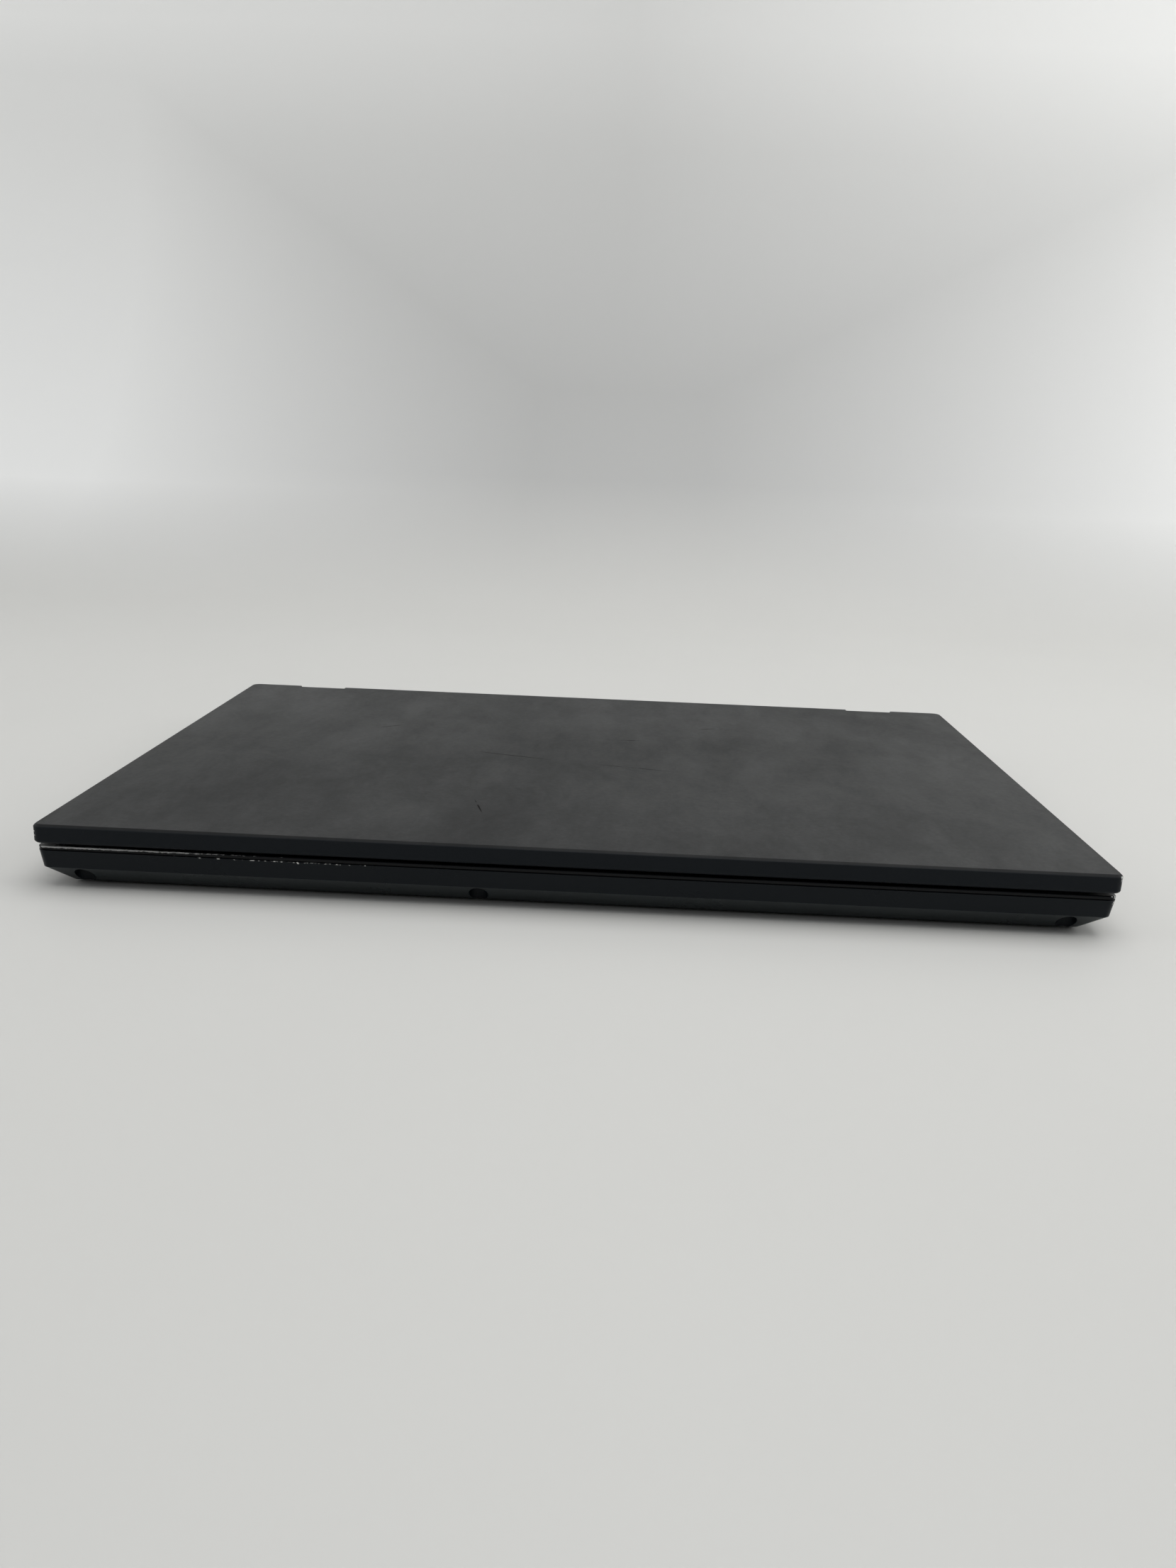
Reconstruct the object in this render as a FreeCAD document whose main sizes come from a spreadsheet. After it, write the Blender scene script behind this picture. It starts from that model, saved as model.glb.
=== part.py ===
import FreeCAD, Part
import math
import os
import re

import Sketcher

from FreeCAD import Placement, Rotation, Vector

# A closed 15.6-inch notebook computer that opens flat, in millimetres.
# The origin is on the table under the middle of the lid; +X is to the user's right, +Y to the hinges.

# Keyboard layout, in key pitches from left to right
FUNCTION_KEYS = [15 / 16] * 16
NUMBER_KEYS = [1] * 13 + [2]
UPPER_KEYS = [1.5] + [1] * 12 + [1.5]
HOME_KEYS = [1.75] + [1] * 11 + [2.25]
LOWER_KEYS = [2.25] + [1] * 10 + [2.75]
SPACE_KEYS = [1] * 4 + [5.5] + [1] * 3
SPACE_BAR_INDEX = 4
ARROW_COLUMNS = 3
MAIN_UNITS = 15
NUMPAD_UNITS = 4
LETTER_ROWS = 5
STICK_UNITS = HOME_KEYS[0] + 5
FAN_BLADES = 13
FIN_COUNT = 12
INTAKE_SLOTS = 8
EXHAUST_SLOTS = 11
GRILLE_SLOTS = 12
BATTERY_CELLS = 6

# Flat sides of standoffs, screw shanks, bars that hardly show, and larger rounds
HEXAGON = 6
SHANK_SIDES = 8
BAR_SIDES = 16
ROUND_SIDES = 32

SIZES = (
    ("key_pitch", 18.5, "spacing of the letter keys across the board"),
    ("row_pitch", 18.6, "spacing of the key rows"),
    ("function_pitch", 12.5, "depth of the function row"),
    ("numpad_pitch", 17.0, "spacing of the number pad keys across"),
    ("numpad_gap", 4.0, "gap between the letter keys and the number pad"),
    ("key_gap", 1.9, "gap between neighbouring caps"),
    ("key_clearance", 0.45, "gap round a cap in its frame"),
    ("key_bevel", 0.5, "bevel round the top of a cap"),
    ("key_height", 2.4, "height of a cap"),
    ("key_rise", 0.2, "caps above the deck"),
    ("key_travel", 1.8, "travel of a key"),
    ("travel_spare", 0.4, "room left under a pressed key"),
    ("field_margin", 2.0, "frame beyond the outer keys"),
    ("web_thickness", 0.8, "keyboard frame thickness"),
    ("seat_clearance", 0.2, "gap round inset plates"),
    ("tray_thickness", 0.8, "sheet of the trays"),
    ("tray_flange", 2.0, "tray rim under the deck"),
    ("tray_ledge", 0.8, "tray rim under the keyboard frame"),
    ("stick_radius", 3.2, "pointing stick cap radius"),
    ("stick_stem_radius", 1.4, "pointing stick stem radius"),
    ("stick_cap_height", 2.6, "pointing stick cap height"),
    ("stick_dome", 0.8, "step at the top of the stick cap"),
    ("stick_clearance", 0.6, "gap round the pointing stick"),
    ("key_side", 14.0, "deck beside the outer keys"),
    ("rear_strip", 15.8, "deck behind the keys"),
    ("front_strip", 8.0, "deck between the keys and the pointer buttons"),
    ("button_depth", 11.0, "pointer button depth"),
    ("button_width", 35.0, "outer pointer button width"),
    ("button_height", 2.0, "pointer button height"),
    ("button_rise", 0.2, "pointer buttons above the deck"),
    ("button_travel", 0.8, "travel of a pointer button"),
    ("button_spare", 0.2, "room left under a pressed button"),
    ("touch_gap", 0.6, "gap between touchpad and buttons"),
    ("touch_edge", 0.4, "gap round the touchpad group"),
    ("touchpad_width", 100.0, "touchpad width"),
    ("touchpad_depth", 66.0, "touchpad depth"),
    ("touchpad_thickness", 1.2, "touchpad thickness"),
    ("touchpad_drop", 0.2, "touchpad below the deck"),
    ("touchpad_radius", 1.5, "touchpad corner radius"),
    ("palm_margin", 37.4, "palm rest before the touchpad"),
    ("base_inset", 1.5, "deck edge inside the lid's front edge"),
    ("side_inset", 0.65, "deck edge inside the lid's side edges"),
    ("base_radius", 3.0, "corner radius of the base"),
    ("deck_bevel", 0.35, "bevel round the deck"),
    ("rim_thickness", 1.6, "palm rest plate"),
    ("seam_height", 0.4, "height of the seam groove"),
    ("seam_depth", 0.5, "depth of the seam groove"),
    ("wall_lean", 0.8, "inward lean of the base wall"),
    ("chamfer_size", 6.8, "chamfer round the bottom cover"),
    ("cover_wall", 1.6, "bottom cover wall"),
    ("cover_floor", 1.6, "bottom cover floor"),
    ("foot_height", 1.3, "rubber foot height"),
    ("foot_length", 52.0, "rubber foot length"),
    ("foot_width", 9.0, "rubber foot width"),
    ("foot_taper", 1.0, "rubber foot narrower at the table"),
    ("foot_side", 23.75, "foot from the side of the flat bottom"),
    ("foot_edge", 8.0, "foot from the front and rear of the flat bottom"),
    ("lid_gap", 1.4, "gap between deck and lid"),
    ("lid_front_radius", 3.0, "lid corner radius in front"),
    ("lid_rear_radius", 4.5, "lid corner radius at the rear"),
    ("lid_bevel", 0.9, "bevel round the lid top"),
    ("lid_lower_bevel", 0.7, "bevel of the lid's lower edge"),
    ("lid_skin", 1.4, "lid cover skin"),
    ("lid_rim", 2.0, "lid cover rim"),
    ("lid_inner_radius", 1.5, "corner radius inside the lid rim"),
    ("foam_gap", 0.9, "foam space behind the display"),
    ("lcd_thickness", 3.2, "display module thickness"),
    ("lcd_frame", 3.2, "display module beyond the screen"),
    ("bezel_thickness", 1.4, "display bezel"),
    ("bezel_clearance", 0.1, "gap round the bezel"),
    ("bezel_side", 17.3, "lid edge to screen at the sides"),
    ("bezel_top", 24.0, "lid edge to screen at the top"),
    ("bezel_bottom", 36.0, "lid edge to screen at the hinges"),
    ("glass_recess", 1.0, "display glass below the bezel face"),
    ("glass_clearance", 0.3, "gap round the display glass"),
    ("hinge_inset", 3.8, "hinge axis from the lid's rear edge"),
    ("hinge_drop", 0.8, "hinge axis below the bezel"),
    ("rear_gap", 0.6, "gap behind the base when the lid lies flat"),
    ("notch_margin", 27.1, "notch from the lid's side edge"),
    ("notch_width", 24.3, "hinge notch width"),
    ("notch_overlap", 0.3, "notch floor behind the hinge axis"),
    ("barrel_radius", 3.3, "hinge barrel radius"),
    ("barrel_clearance", 0.5, "room round the barrel and beside it"),
    ("block_wall", 1.4, "lid wall round the notch"),
    ("ear_width", 5.3, "lid ear of the hinge"),
    ("pin_radius", 1.5, "hinge pin radius"),
    ("pin_clearance", 0.05, "running clearance of the pin"),
    ("leaf_thickness", 1.2, "hinge arm sheet"),
    ("leaf_depth", 6.5, "hinge arm strip across the lid"),
    ("leaf_length", 130.0, "hinge arm along the display"),
    ("leaf_gap", 1.0, "gap between hinge arm and display"),
    ("neck_height", 2.2, "hinge bracket neck"),
    ("neck_rise", 1.0, "neck above the seam"),
    ("neck_window", 4.0, "depth of the neck's cut in the deck"),
    ("bracket_side", 16.0, "bracket plate beside the barrel"),
    ("bumper_radius", 3.0, "lid bumper radius"),
    ("bumper_clearance", 0.15, "bumper above the deck"),
    ("bumper_edge", 9.0, "bumper from the lid edges"),
    ("webcam_edge", 12.0, "webcam from the lid's front edge"),
    ("webcam_length", 62.0, "webcam board length"),
    ("webcam_depth", 7.0, "webcam board depth"),
    ("webcam_height", 2.2, "webcam board height"),
    ("lens_radius", 2.6, "webcam lens radius"),
    ("lens_recess", 0.3, "lens below the bezel face"),
    ("antenna_length", 58.0, "antenna length"),
    ("antenna_depth", 5.0, "antenna depth"),
    ("antenna_height", 1.0, "antenna height"),
    ("antenna_offset", 120.0, "antenna from the middle"),
    ("screw_side", 14.6, "outer screws from the deck's side edge"),
    ("screw_middle", -32.9, "front middle screw"),
    ("screw_edge", 4.75, "screws from the deck edge"),
    ("boss_radius", 4.65, "screw boss of the bottom cover"),
    ("boss_joint", 3.6, "boss joint below the seam"),
    ("post_radius", 2.1, "screw post of the palm rest"),
    ("bore_radius", 3.45, "counterbore radius"),
    ("head_seat", 1.6, "boss left above the screw head"),
    ("head_radius", 2.7, "screw head radius"),
    ("head_height", 1.4, "screw head height"),
    ("shank_radius", 1.25, "screw shank radius"),
    ("shank_clearance", 0.08, "gap round the screw shank"),
    ("thread_length", 2.4, "screw in the post"),
    ("standoff_radius", 2.5, "board standoff radius"),
    ("standoff_height", 2.1, "board standoff height"),
    ("board_thickness", 1.2, "circuit board thickness"),
    ("chip_height", 0.8, "chip height"),
    ("board_gap", 6.0, "space round the motherboard"),
    ("battery_side", 28.0, "space beside the battery"),
    ("battery_front", 3.2, "space before the battery"),
    ("battery_depth", 74.0, "battery depth"),
    ("battery_top_gap", 0.6, "space above the battery"),
    ("cell_groove", 1.0, "groove depth between battery cells"),
    ("cell_gap", 2.0, "groove width between battery cells"),
    ("fin_edge", 1.0, "fin stack from the wall"),
    ("fin_depth", 13.0, "fin stack depth"),
    ("fin_thickness", 0.5, "fin sheet"),
    ("fan_size", 56.0, "fan housing across"),
    ("fan_rear", 8.0, "fan housing from the rear wall"),
    ("fan_wall", 1.0, "fan housing wall"),
    ("fan_top_gap", 0.4, "fan housing under the keyboard tray"),
    ("fan_margin", 2.0, "fan chamber inside the housing"),
    ("fan_inlet_radius", 18.0, "fan inlet radius"),
    ("rotor_clearance", 0.5, "room round the rotor"),
    ("rotor_tip", 1.5, "rotor tip inside the chamber"),
    ("hub_radius", 10.5, "rotor hub radius"),
    ("blade_thickness", 0.8, "rotor blade thickness"),
    ("blade_lean", 7.0, "backward lean of a blade tip"),
    ("post_pin_radius", 2.0, "fan shaft radius"),
    ("post_pin_clearance", 0.05, "rotor bore clearance"),
    ("pipe_width", 9.0, "heat pipe width"),
    ("pipe_height", 1.8, "heat pipe height"),
    ("pipe_front", 7.0, "heat pipe before the fan"),
    ("plate_size", 40.0, "cold plate across"),
    ("pipe_gap", 0.6, "heat pipe under the keyboard tray"),
    ("pipe_round", 4.0, "heat pipe end radius"),
    ("chip_size", 20.0, "chip across"),
    ("plate_offset", 22.0, "cold plate from the board's left edge"),
    ("memory_length", 67.6, "memory module length"),
    ("memory_depth", 30.0, "memory module depth"),
    ("memory_height", 1.2, "memory module thickness"),
    ("memory_inset", 12.0, "memory from the board's right edge"),
    ("drive_length", 80.0, "drive length"),
    ("drive_width", 22.0, "drive width"),
    ("drive_height", 2.4, "drive height"),
    ("drive_inset", 8.0, "drive from the board's rear edge"),
    ("card_length", 30.0, "wireless card length"),
    ("card_width", 22.0, "wireless card width"),
    ("card_height", 1.8, "wireless card height"),
    ("coin_radius", 10.0, "coin cell radius"),
    ("coin_height", 3.2, "coin cell height"),
    ("speaker_near", 20.0, "speaker from the middle"),
    ("speaker_length", 72.0, "speaker length"),
    ("speaker_height", 5.4, "speaker height"),
    ("strip_gap", 0.6, "space between parts behind the keyboard"),
    ("grille_depth", 6.0, "speaker grille depth"),
    ("grille_slot", 3.4, "grille slot width"),
    ("grille_bar", 1.2, "grille rim before and behind the slots"),
    ("power_radius", 5.0, "power button radius"),
    ("power_offset", 110.0, "power button from the middle"),
    ("power_rise", 0.1, "power button above the deck"),
    ("sensor_size", 14.0, "fingerprint reader across"),
    ("sensor_offset", 30.0, "fingerprint reader beside the touchpad"),
    ("sensor_drop", 0.3, "fingerprint reader below the deck"),
    ("sensor_flange", 2.0, "fingerprint reader flange"),
    ("flange_height", 0.8, "flange height"),
    ("first_port", 20.0, "first socket from the deck's front edge"),
    ("port_space", 6.5, "space between sockets"),
    ("port_rise", 0.3, "sockets above the chamfer"),
    ("port_headroom", 0.5, "room above the tallest socket"),
    ("port_setback", 0.4, "sockets inside the wall"),
    ("port_shell", 0.4, "socket shell"),
    ("port_clearance", 0.2, "gap round a socket in its window"),
    ("port_backing", 2.0, "board behind the sockets"),
    ("tongue_thickness", 1.4, "contact tongue of a socket"),
    ("tongue_setback", 1.0, "contact tongue inside the mouth"),
    ("audio_width", 7.0, "audio jack width"),
    ("audio_height", 4.6, "audio jack height"),
    ("audio_bore", 1.8, "audio jack bore radius"),
    ("audio_depth", 12.0, "audio jack depth"),
    ("usb_width", 13.1, "USB socket width"),
    ("usb_height", 5.7, "USB socket height"),
    ("usb_depth", 14.0, "USB socket depth"),
    ("hdmi_width", 15.0, "HDMI socket width"),
    ("hdmi_height", 4.6, "HDMI socket height"),
    ("hdmi_depth", 12.0, "HDMI socket depth"),
    ("display_width", 8.2, "display socket width"),
    ("display_height", 4.6, "display socket height"),
    ("display_depth", 10.0, "display socket depth"),
    ("slot_width", 25.0, "card slot width"),
    ("slot_height", 3.4, "card slot height"),
    ("slot_depth", 22.0, "card slot depth"),
    ("network_width", 14.6, "network jack width"),
    ("network_height", 8.2, "network jack height"),
    ("network_depth", 17.0, "network jack depth"),
    ("network_shell", 1.2, "network jack shell"),
    ("network_lip", 1.9, "network jack mouth behind the socket line"),
    ("inlet_offset", -112.0, "power inlet from the middle"),
    ("inlet_width", 12.6, "power inlet width"),
    ("inlet_height", 4.8, "power inlet height"),
    ("inlet_depth", 9.0, "power inlet depth"),
    ("lock_offset", 50.0, "lock slot from the hinge axis"),
    ("lock_width", 7.0, "lock slot width"),
    ("lock_height", 3.0, "lock slot height"),
    ("lock_level", 1.2, "lock slot above the chamfer"),
    ("lock_plate", 1.6, "lock plate thickness"),
    ("intake_pitch", 4.6, "spacing of the intake slots"),
    ("intake_slot", 2.4, "intake slot width"),
    ("intake_length", 34.0, "intake slot length"),
    ("exhaust_pitch", 4.4, "spacing of the exhaust slots"),
    ("exhaust_slot", 2.4, "exhaust slot width"),
    ("exhaust_low", 4.0, "exhaust slots above the flat bottom"),
    ("exhaust_height", 4.6, "exhaust slot height"),
)

LEVELS = (
    ("keyboard_width", f"{MAIN_UNITS} * key_pitch + numpad_gap + {NUMPAD_UNITS} * numpad_pitch"),
    ("keyboard_depth", f"function_pitch + {LETTER_ROWS} * row_pitch"),
    ("deck_half_width", "keyboard_width / 2 + key_side"),
    ("deck_depth", "rear_strip + keyboard_depth + front_strip + button_depth + touch_gap"
                   " + touchpad_depth + palm_margin"),
    ("lid_half_width", "deck_half_width + side_inset"),
    ("lid_half_depth", "(base_inset + deck_depth + 2 * hinge_inset + rear_gap) / 2"),
    ("deck_front", "lid_half_depth - base_inset"),
    ("deck_rear", "lid_half_depth - 2 * hinge_inset - rear_gap"),
    ("chamfer_top", "foot_height + chamfer_size"),
    ("seam_level", "chamfer_top + port_rise + usb_height + port_headroom"),
    ("deck_top", "seam_level + rim_thickness"),
    ("lid_bottom", "deck_top + lid_gap"),
    ("lid_thickness", "bezel_thickness + lcd_thickness + foam_gap + lid_skin"),
    ("total_height", "lid_bottom + lid_thickness"),
    ("bezel_inset", "lid_rim + bezel_clearance"),
    ("stack_level", "lid_bottom + bezel_thickness"),
    ("screen_half_width", "lid_half_width - bezel_side"),
    ("screen_front", "lid_half_depth - bezel_top"),
    ("screen_rear", "lid_half_depth - bezel_bottom"),
    ("hinge_y", "lid_half_depth - hinge_inset"),
    ("hinge_z", "lid_bottom - hinge_drop"),
    ("notch_outer", "lid_half_width - notch_margin"),
    ("notch_inner", "notch_outer - notch_width"),
    ("notch_radius", "barrel_radius + barrel_clearance"),
    ("block_front", "hinge_y - notch_radius - block_wall"),
    ("leaf_rear", "block_front - bezel_clearance"),
    ("leaf_front", "leaf_rear - leaf_depth"),
    ("ear_inner", "notch_inner + barrel_clearance"),
    ("knuckle_inner", "ear_inner + ear_width + barrel_clearance"),
    ("knuckle_outer", "notch_outer - barrel_clearance"),
    ("knee_half_width", "deck_half_width - wall_lean"),
    ("port_face", "knee_half_width - port_setback"),
    ("bottom_inset", "wall_lean + chamfer_size"),
    ("inner_knee_inset", "wall_lean + cover_wall"),
    ("inner_knee_level", "chamfer_top + cover_wall * (sqrt(2) - 1)"),
    ("floor_inset", "bottom_inset - cover_floor + cover_wall * sqrt(2)"),
    ("floor_top", "foot_height + cover_floor"),
    ("floor_half_width", "deck_half_width - floor_inset"),
    ("floor_front", "deck_front - floor_inset"),
    ("floor_rear", "deck_rear - floor_inset"),
    ("keys_left", "-keyboard_width / 2"),
    ("keys_rear", "deck_rear - rear_strip"),
    ("keys_front", "keys_rear - keyboard_depth"),
    ("field_half_width", "keyboard_width / 2 + field_margin"),
    ("field_rear", "keys_rear + field_margin"),
    ("field_front", "keys_front - field_margin"),
    ("key_top", "deck_top + key_rise"),
    ("key_bottom", "key_top - key_height"),
    ("tray_floor", "key_bottom - key_travel - travel_spare"),
    ("tray_bottom", "tray_floor - tray_thickness"),
    ("tray_rear", "field_rear + tray_flange"),
    ("touch_x", f"keys_left + {MAIN_UNITS} * key_pitch / 2"),
    ("buttons_rear", "keys_front - front_strip"),
    ("buttons_front", "buttons_rear - button_depth"),
    ("touchpad_rear", "buttons_front - touch_gap"),
    ("touchpad_front", "touchpad_rear - touchpad_depth"),
    ("touch_floor", "deck_top + button_rise - button_height - button_travel - button_spare"),
    ("touch_bottom", "touch_floor - tray_thickness"),
    ("boss_level", "seam_level - boss_joint"),
    ("head_level", "boss_level - head_seat"),
    ("board_level", "floor_top + standoff_height"),
    ("board_top", "board_level + board_thickness"),
    ("battery_y", "-floor_front + battery_front"),
    ("board_front", "battery_y + battery_depth + board_gap"),
    ("board_rear", "floor_rear - board_gap"),
    ("fan_left", "-floor_half_width + fin_edge + fin_depth + fin_edge"),
    ("fan_back", "floor_rear - fan_rear"),
    ("fan_front", "fan_back - fan_size"),
    ("fan_x", "fan_left + fan_size / 2"),
    ("fan_y", "fan_front + fan_size / 2"),
    ("fan_top", "tray_bottom - fan_top_gap"),
    ("chamber_radius", "fan_size / 2 - fan_margin"),
    ("board_left", "fan_left + fan_size + board_gap"),
    ("board_right", "port_face - network_lip - network_depth - board_gap"),
    ("plate_level", "board_top + chip_height"),
    ("pipe_level", "tray_bottom - pipe_gap - pipe_height"),
    ("pipe_y", "fan_front - pipe_front"),
    ("speaker_rear", "deck_rear - wall_lean - cover_wall - strip_gap"),
    ("speaker_front", "tray_rear + strip_gap"),
    ("grille_y", "(tray_rear + deck_rear - cover_wall) / 2"),
    ("port_level", "chamfer_top + port_rise"),
    ("sensor_x", "touch_x + touchpad_width / 2 + sensor_offset"),
    ("sensor_y", "(touchpad_front + touchpad_rear) / 2"),
    ("screw_x", "deck_half_width - screw_side"),
)

SIDES = (("left", -1), ("right", 1))
SAME_LEVEL = 0.001

# Outlines as half width, front and rear, and places that several pieces share
LID_EDGES = ("lid_half_width", "lid_half_depth", "lid_half_depth")
DECK_EDGES = ("deck_half_width", "deck_front", "deck_rear")
WEBCAM_Y = "-lid_half_depth + webcam_edge"
NETWORK_BOTTOM = "seam_level - port_headroom - network_height"
PLATE_X = "(board_left + plate_offset + plate_size / 2)"
GRILLE_Y = ("grille_y - grille_depth / 2", "grille_y + grille_depth / 2")
LOCK_SLOT = (("hinge_y - lock_offset - lock_width / 2", "hinge_y - lock_offset + lock_width / 2"),
             ("chamfer_top + lock_level", "chamfer_top + lock_level + lock_height"))

doc = FreeCAD.newDocument("laptop")
sizes = doc.addObject("Spreadsheet::Sheet", "sizes")
levels = doc.addObject("Spreadsheet::Sheet", "levels")
size_names = {row[0] for row in SIZES}
level_names = {row[0] for row in LEVELS}
nodes = []


# Formulas

def qualify(formula):
    """Put each size and level of a formula after the name of its sheet."""
    def prefix(match):
        word = match.group(0)
        if word in size_names:
            return "sizes." + word
        if word in level_names:
            return "levels." + word
        return word
    return re.sub(r"[a-z_]+", prefix, formula)


def fill_sheets():
    for row, (name, value, meaning) in enumerate(SIZES, 1):
        sizes.set(f"A{row}", meaning)
        sizes.set(f"B{row}", str(value))
        sizes.setAlias(f"B{row}", name)
    for row, (name, formula) in enumerate(LEVELS, 1):
        levels.set(f"A{row}", name.replace("_", " "))
        levels.set(f"B{row}", "=" + qualify(formula))
        levels.setAlias(f"B{row}", name)
    doc.recompute()


def number(formula):
    """The value of a formula, for first outlines and for shapes made in a loop."""
    def insert(match):
        word = match.group(0)
        if word in size_names:
            return repr(float(sizes.get(word)))
        if word in level_names:
            return repr(float(levels.get(word)))
        return word
    return FreeCAD.Units.Quantity(re.sub(r"[a-z_]+", insert, formula)).Value


def bind(target, prop, formula):
    target.setExpression(prop, qualify(formula))


def span(sign, inner, outer):
    """A range of x on the left or right side, from the distances of its two ends from the middle."""
    if sign > 0:
        return inner, outer
    return f"-({outer})", f"-({inner})"


# Solids

def box(name, x, y, z):
    """A block between two formulas on each axis."""
    block = doc.addObject("Part::Box", name)
    for prop, axis, (low, high) in zip(("Length", "Width", "Height"), "xyz", (x, y, z)):
        bind(block, prop, f"({high}) - ({low})")
        bind(block, f"Placement.Base.{axis}", low)
    return block


def cylinder(name, axis, radius, start, length, sides=0):
    """A bar from a start point along +X or +Z, either round or with a number of flat sides."""
    turn = {"x": Rotation(Vector(0, 1, 0), 90), "z": Rotation()}
    bar = doc.addObject("Part::Prism" if sides else "Part::Cylinder", name)
    bar.Placement = Placement(Vector(), turn[axis])
    if sides:
        bar.Polygon = sides
    bind(bar, "Circumradius" if sides else "Radius", radius)
    bind(bar, "Height", length)
    for letter, formula in zip("xyz", start):
        bind(bar, f"Placement.Base.{letter}", formula)
    return bar


def frustum(name, low_x, low_y, high_x, high_y, z):
    """A block whose rectangle changes evenly between two levels."""
    wedge = doc.addObject("Part::Wedge", name)
    wedge.Placement = Placement(Vector(), Rotation(Vector(1, 0, 0), 90))
    limits = (("Xmin", low_x[0]), ("Xmax", low_x[1]), ("Ymin", f"{z[0]}"), ("Ymax", f"{z[1]}"),
              ("Zmin", f"-({low_y[1]})"), ("Zmax", f"-({low_y[0]})"),
              ("X2min", high_x[0]), ("X2max", high_x[1]),
              ("Z2min", f"-({high_y[1]})"), ("Z2max", f"-({high_y[0]})"))
    for prop, formula in limits:
        bind(wedge, prop, formula)
    return wedge


def fuse(name, pieces):
    joined = doc.addObject("Part::MultiFuse", name)
    joined.Shapes = pieces
    joined.Refine = True
    return joined


def group(name, pieces):
    together = doc.addObject("Part::Compound", name)
    together.Links = pieces
    return together


def cut(name, base, tools):
    tool = tools[0] if len(tools) == 1 else fuse(name + "_cuts", tools)
    remainder = doc.addObject("Part::Cut", name)
    remainder.Base = base
    remainder.Tool = tool
    remainder.Refine = True
    return remainder


def node(label, piece):
    """Name a finished sub-part after its file."""
    piece.Label = label
    nodes.append(piece)
    return piece


# Rounded outlines

def new_sketch(body, name, level, plane="XY_Plane"):
    sketch = body.newObject("Sketcher::SketchObject", name)
    support = next(item for item in body.Origin.OriginFeatures if item.Role == plane)
    sketch.AttachmentSupport = [(support, "")]
    sketch.MapMode = "FlatFace"
    bind(sketch, "AttachmentOffset.Base.z", level)
    return sketch


def drive(sketch, constraint, name, formula):
    index = sketch.addConstraint(constraint)
    sketch.renameConstraint(index, name)
    bind(sketch, f"Constraints.{name}", formula)


def rounded_outline(sketch, edges, inset, radii):
    """A rectangle with tangent corner arcs, from its half width, front and rear, drawn in by an inset."""
    draw_in = number(inset) if inset else 0.0
    half, front, rear = (number(edge) - draw_in for edge in edges)
    corners = ((half, -front, radii[0], 1, -1), (half, rear, radii[1], 1, 1),
               (-half, rear, radii[1], -1, 1), (-half, -front, radii[0], -1, -1))
    arcs = []
    for turn, (x, y, radius, side_x, side_y) in enumerate(corners):
        r = number(radius)
        circle = Part.Circle(Vector(x - side_x * r, y - side_y * r, 0), Vector(0, 0, 1), r)
        start = (turn - 1) * math.pi / 2
        arcs.append(sketch.addGeometry(Part.ArcOfCircle(circle, start, start + math.pi / 2)))
    lines = []
    for turn in range(4):
        after = arcs[(turn + 1) % 4]
        ends = (sketch.Geometry[arcs[turn]].EndPoint, sketch.Geometry[after].StartPoint)
        lines.append(sketch.addGeometry(Part.LineSegment(*ends)))
    for turn in range(4):
        sketch.addConstraint(Sketcher.Constraint("Tangent", arcs[turn], 2, lines[turn], 1))
        sketch.addConstraint(Sketcher.Constraint("Tangent", lines[turn], 2, arcs[(turn + 1) % 4], 1))
        sketch.addConstraint(Sketcher.Constraint("Horizontal" if turn % 2 else "Vertical", lines[turn]))
    sketch.addConstraint(Sketcher.Constraint("Equal", arcs[0], arcs[3]))
    sketch.addConstraint(Sketcher.Constraint("Equal", arcs[1], arcs[2]))
    less = f" - {inset}" if inset else ""
    right, back, left, near = lines
    limits = (("front_radius", Sketcher.Constraint("Radius", arcs[0], number(radii[0])), radii[0]),
              ("rear_radius", Sketcher.Constraint("Radius", arcs[1], number(radii[1])), radii[1]),
              ("right", Sketcher.Constraint("DistanceX", -1, 1, right, 1, half), edges[0] + less),
              ("left", Sketcher.Constraint("DistanceX", left, 1, -1, 1, half), edges[0] + less),
              ("front", Sketcher.Constraint("DistanceY", near, 1, -1, 1, front), edges[1] + less),
              ("rear", Sketcher.Constraint("DistanceY", -1, 1, back, 1, rear), edges[2] + less))
    for name, constraint, formula in limits:
        drive(sketch, constraint, name, formula)


def plate(name, edges, inset, radii, low, high):
    """A flat plate with rounded corners between two levels."""
    body = doc.addObject("PartDesign::Body", name)
    sketch = new_sketch(body, name + "_outline", low)
    rounded_outline(sketch, edges, inset, radii)
    pad_up(body, sketch, name + "_pad", f"({high}) - ({low})")
    return body


def pad_up(body, sketch, name, length):
    pad = body.newObject("PartDesign::Pad", name)
    pad.Profile = sketch
    bind(pad, "Length", length)
    return pad


def place(body, x, y):
    bind(body, "Placement.Base.x", x)
    bind(body, "Placement.Base.y", y)
    return body


def pill(name, x, y, half_length, half_width, radius, low, high):
    """A rounded plate round its own middle."""
    edges = (half_length, half_width, half_width)
    return place(plate(name, edges, None, (radius, radius), low, high), x, y)


def drafted(name, sections):
    """The base outline lofted with straight walls through levels, each drawn in by its inset."""
    body = doc.addObject("PartDesign::Body", name)
    outlines = []
    for step, (level, inset) in enumerate(sections):
        sketch = new_sketch(body, f"{name}_outline_{step}", level)
        rounded_outline(sketch, DECK_EDGES, inset, ("base_radius", "base_radius"))
        outlines.append(sketch)
    loft = body.newObject("PartDesign::AdditiveLoft", name + "_loft")
    loft.Profile = outlines[0]
    loft.Sections = outlines[1:]
    loft.Ruled = True
    return body


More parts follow.
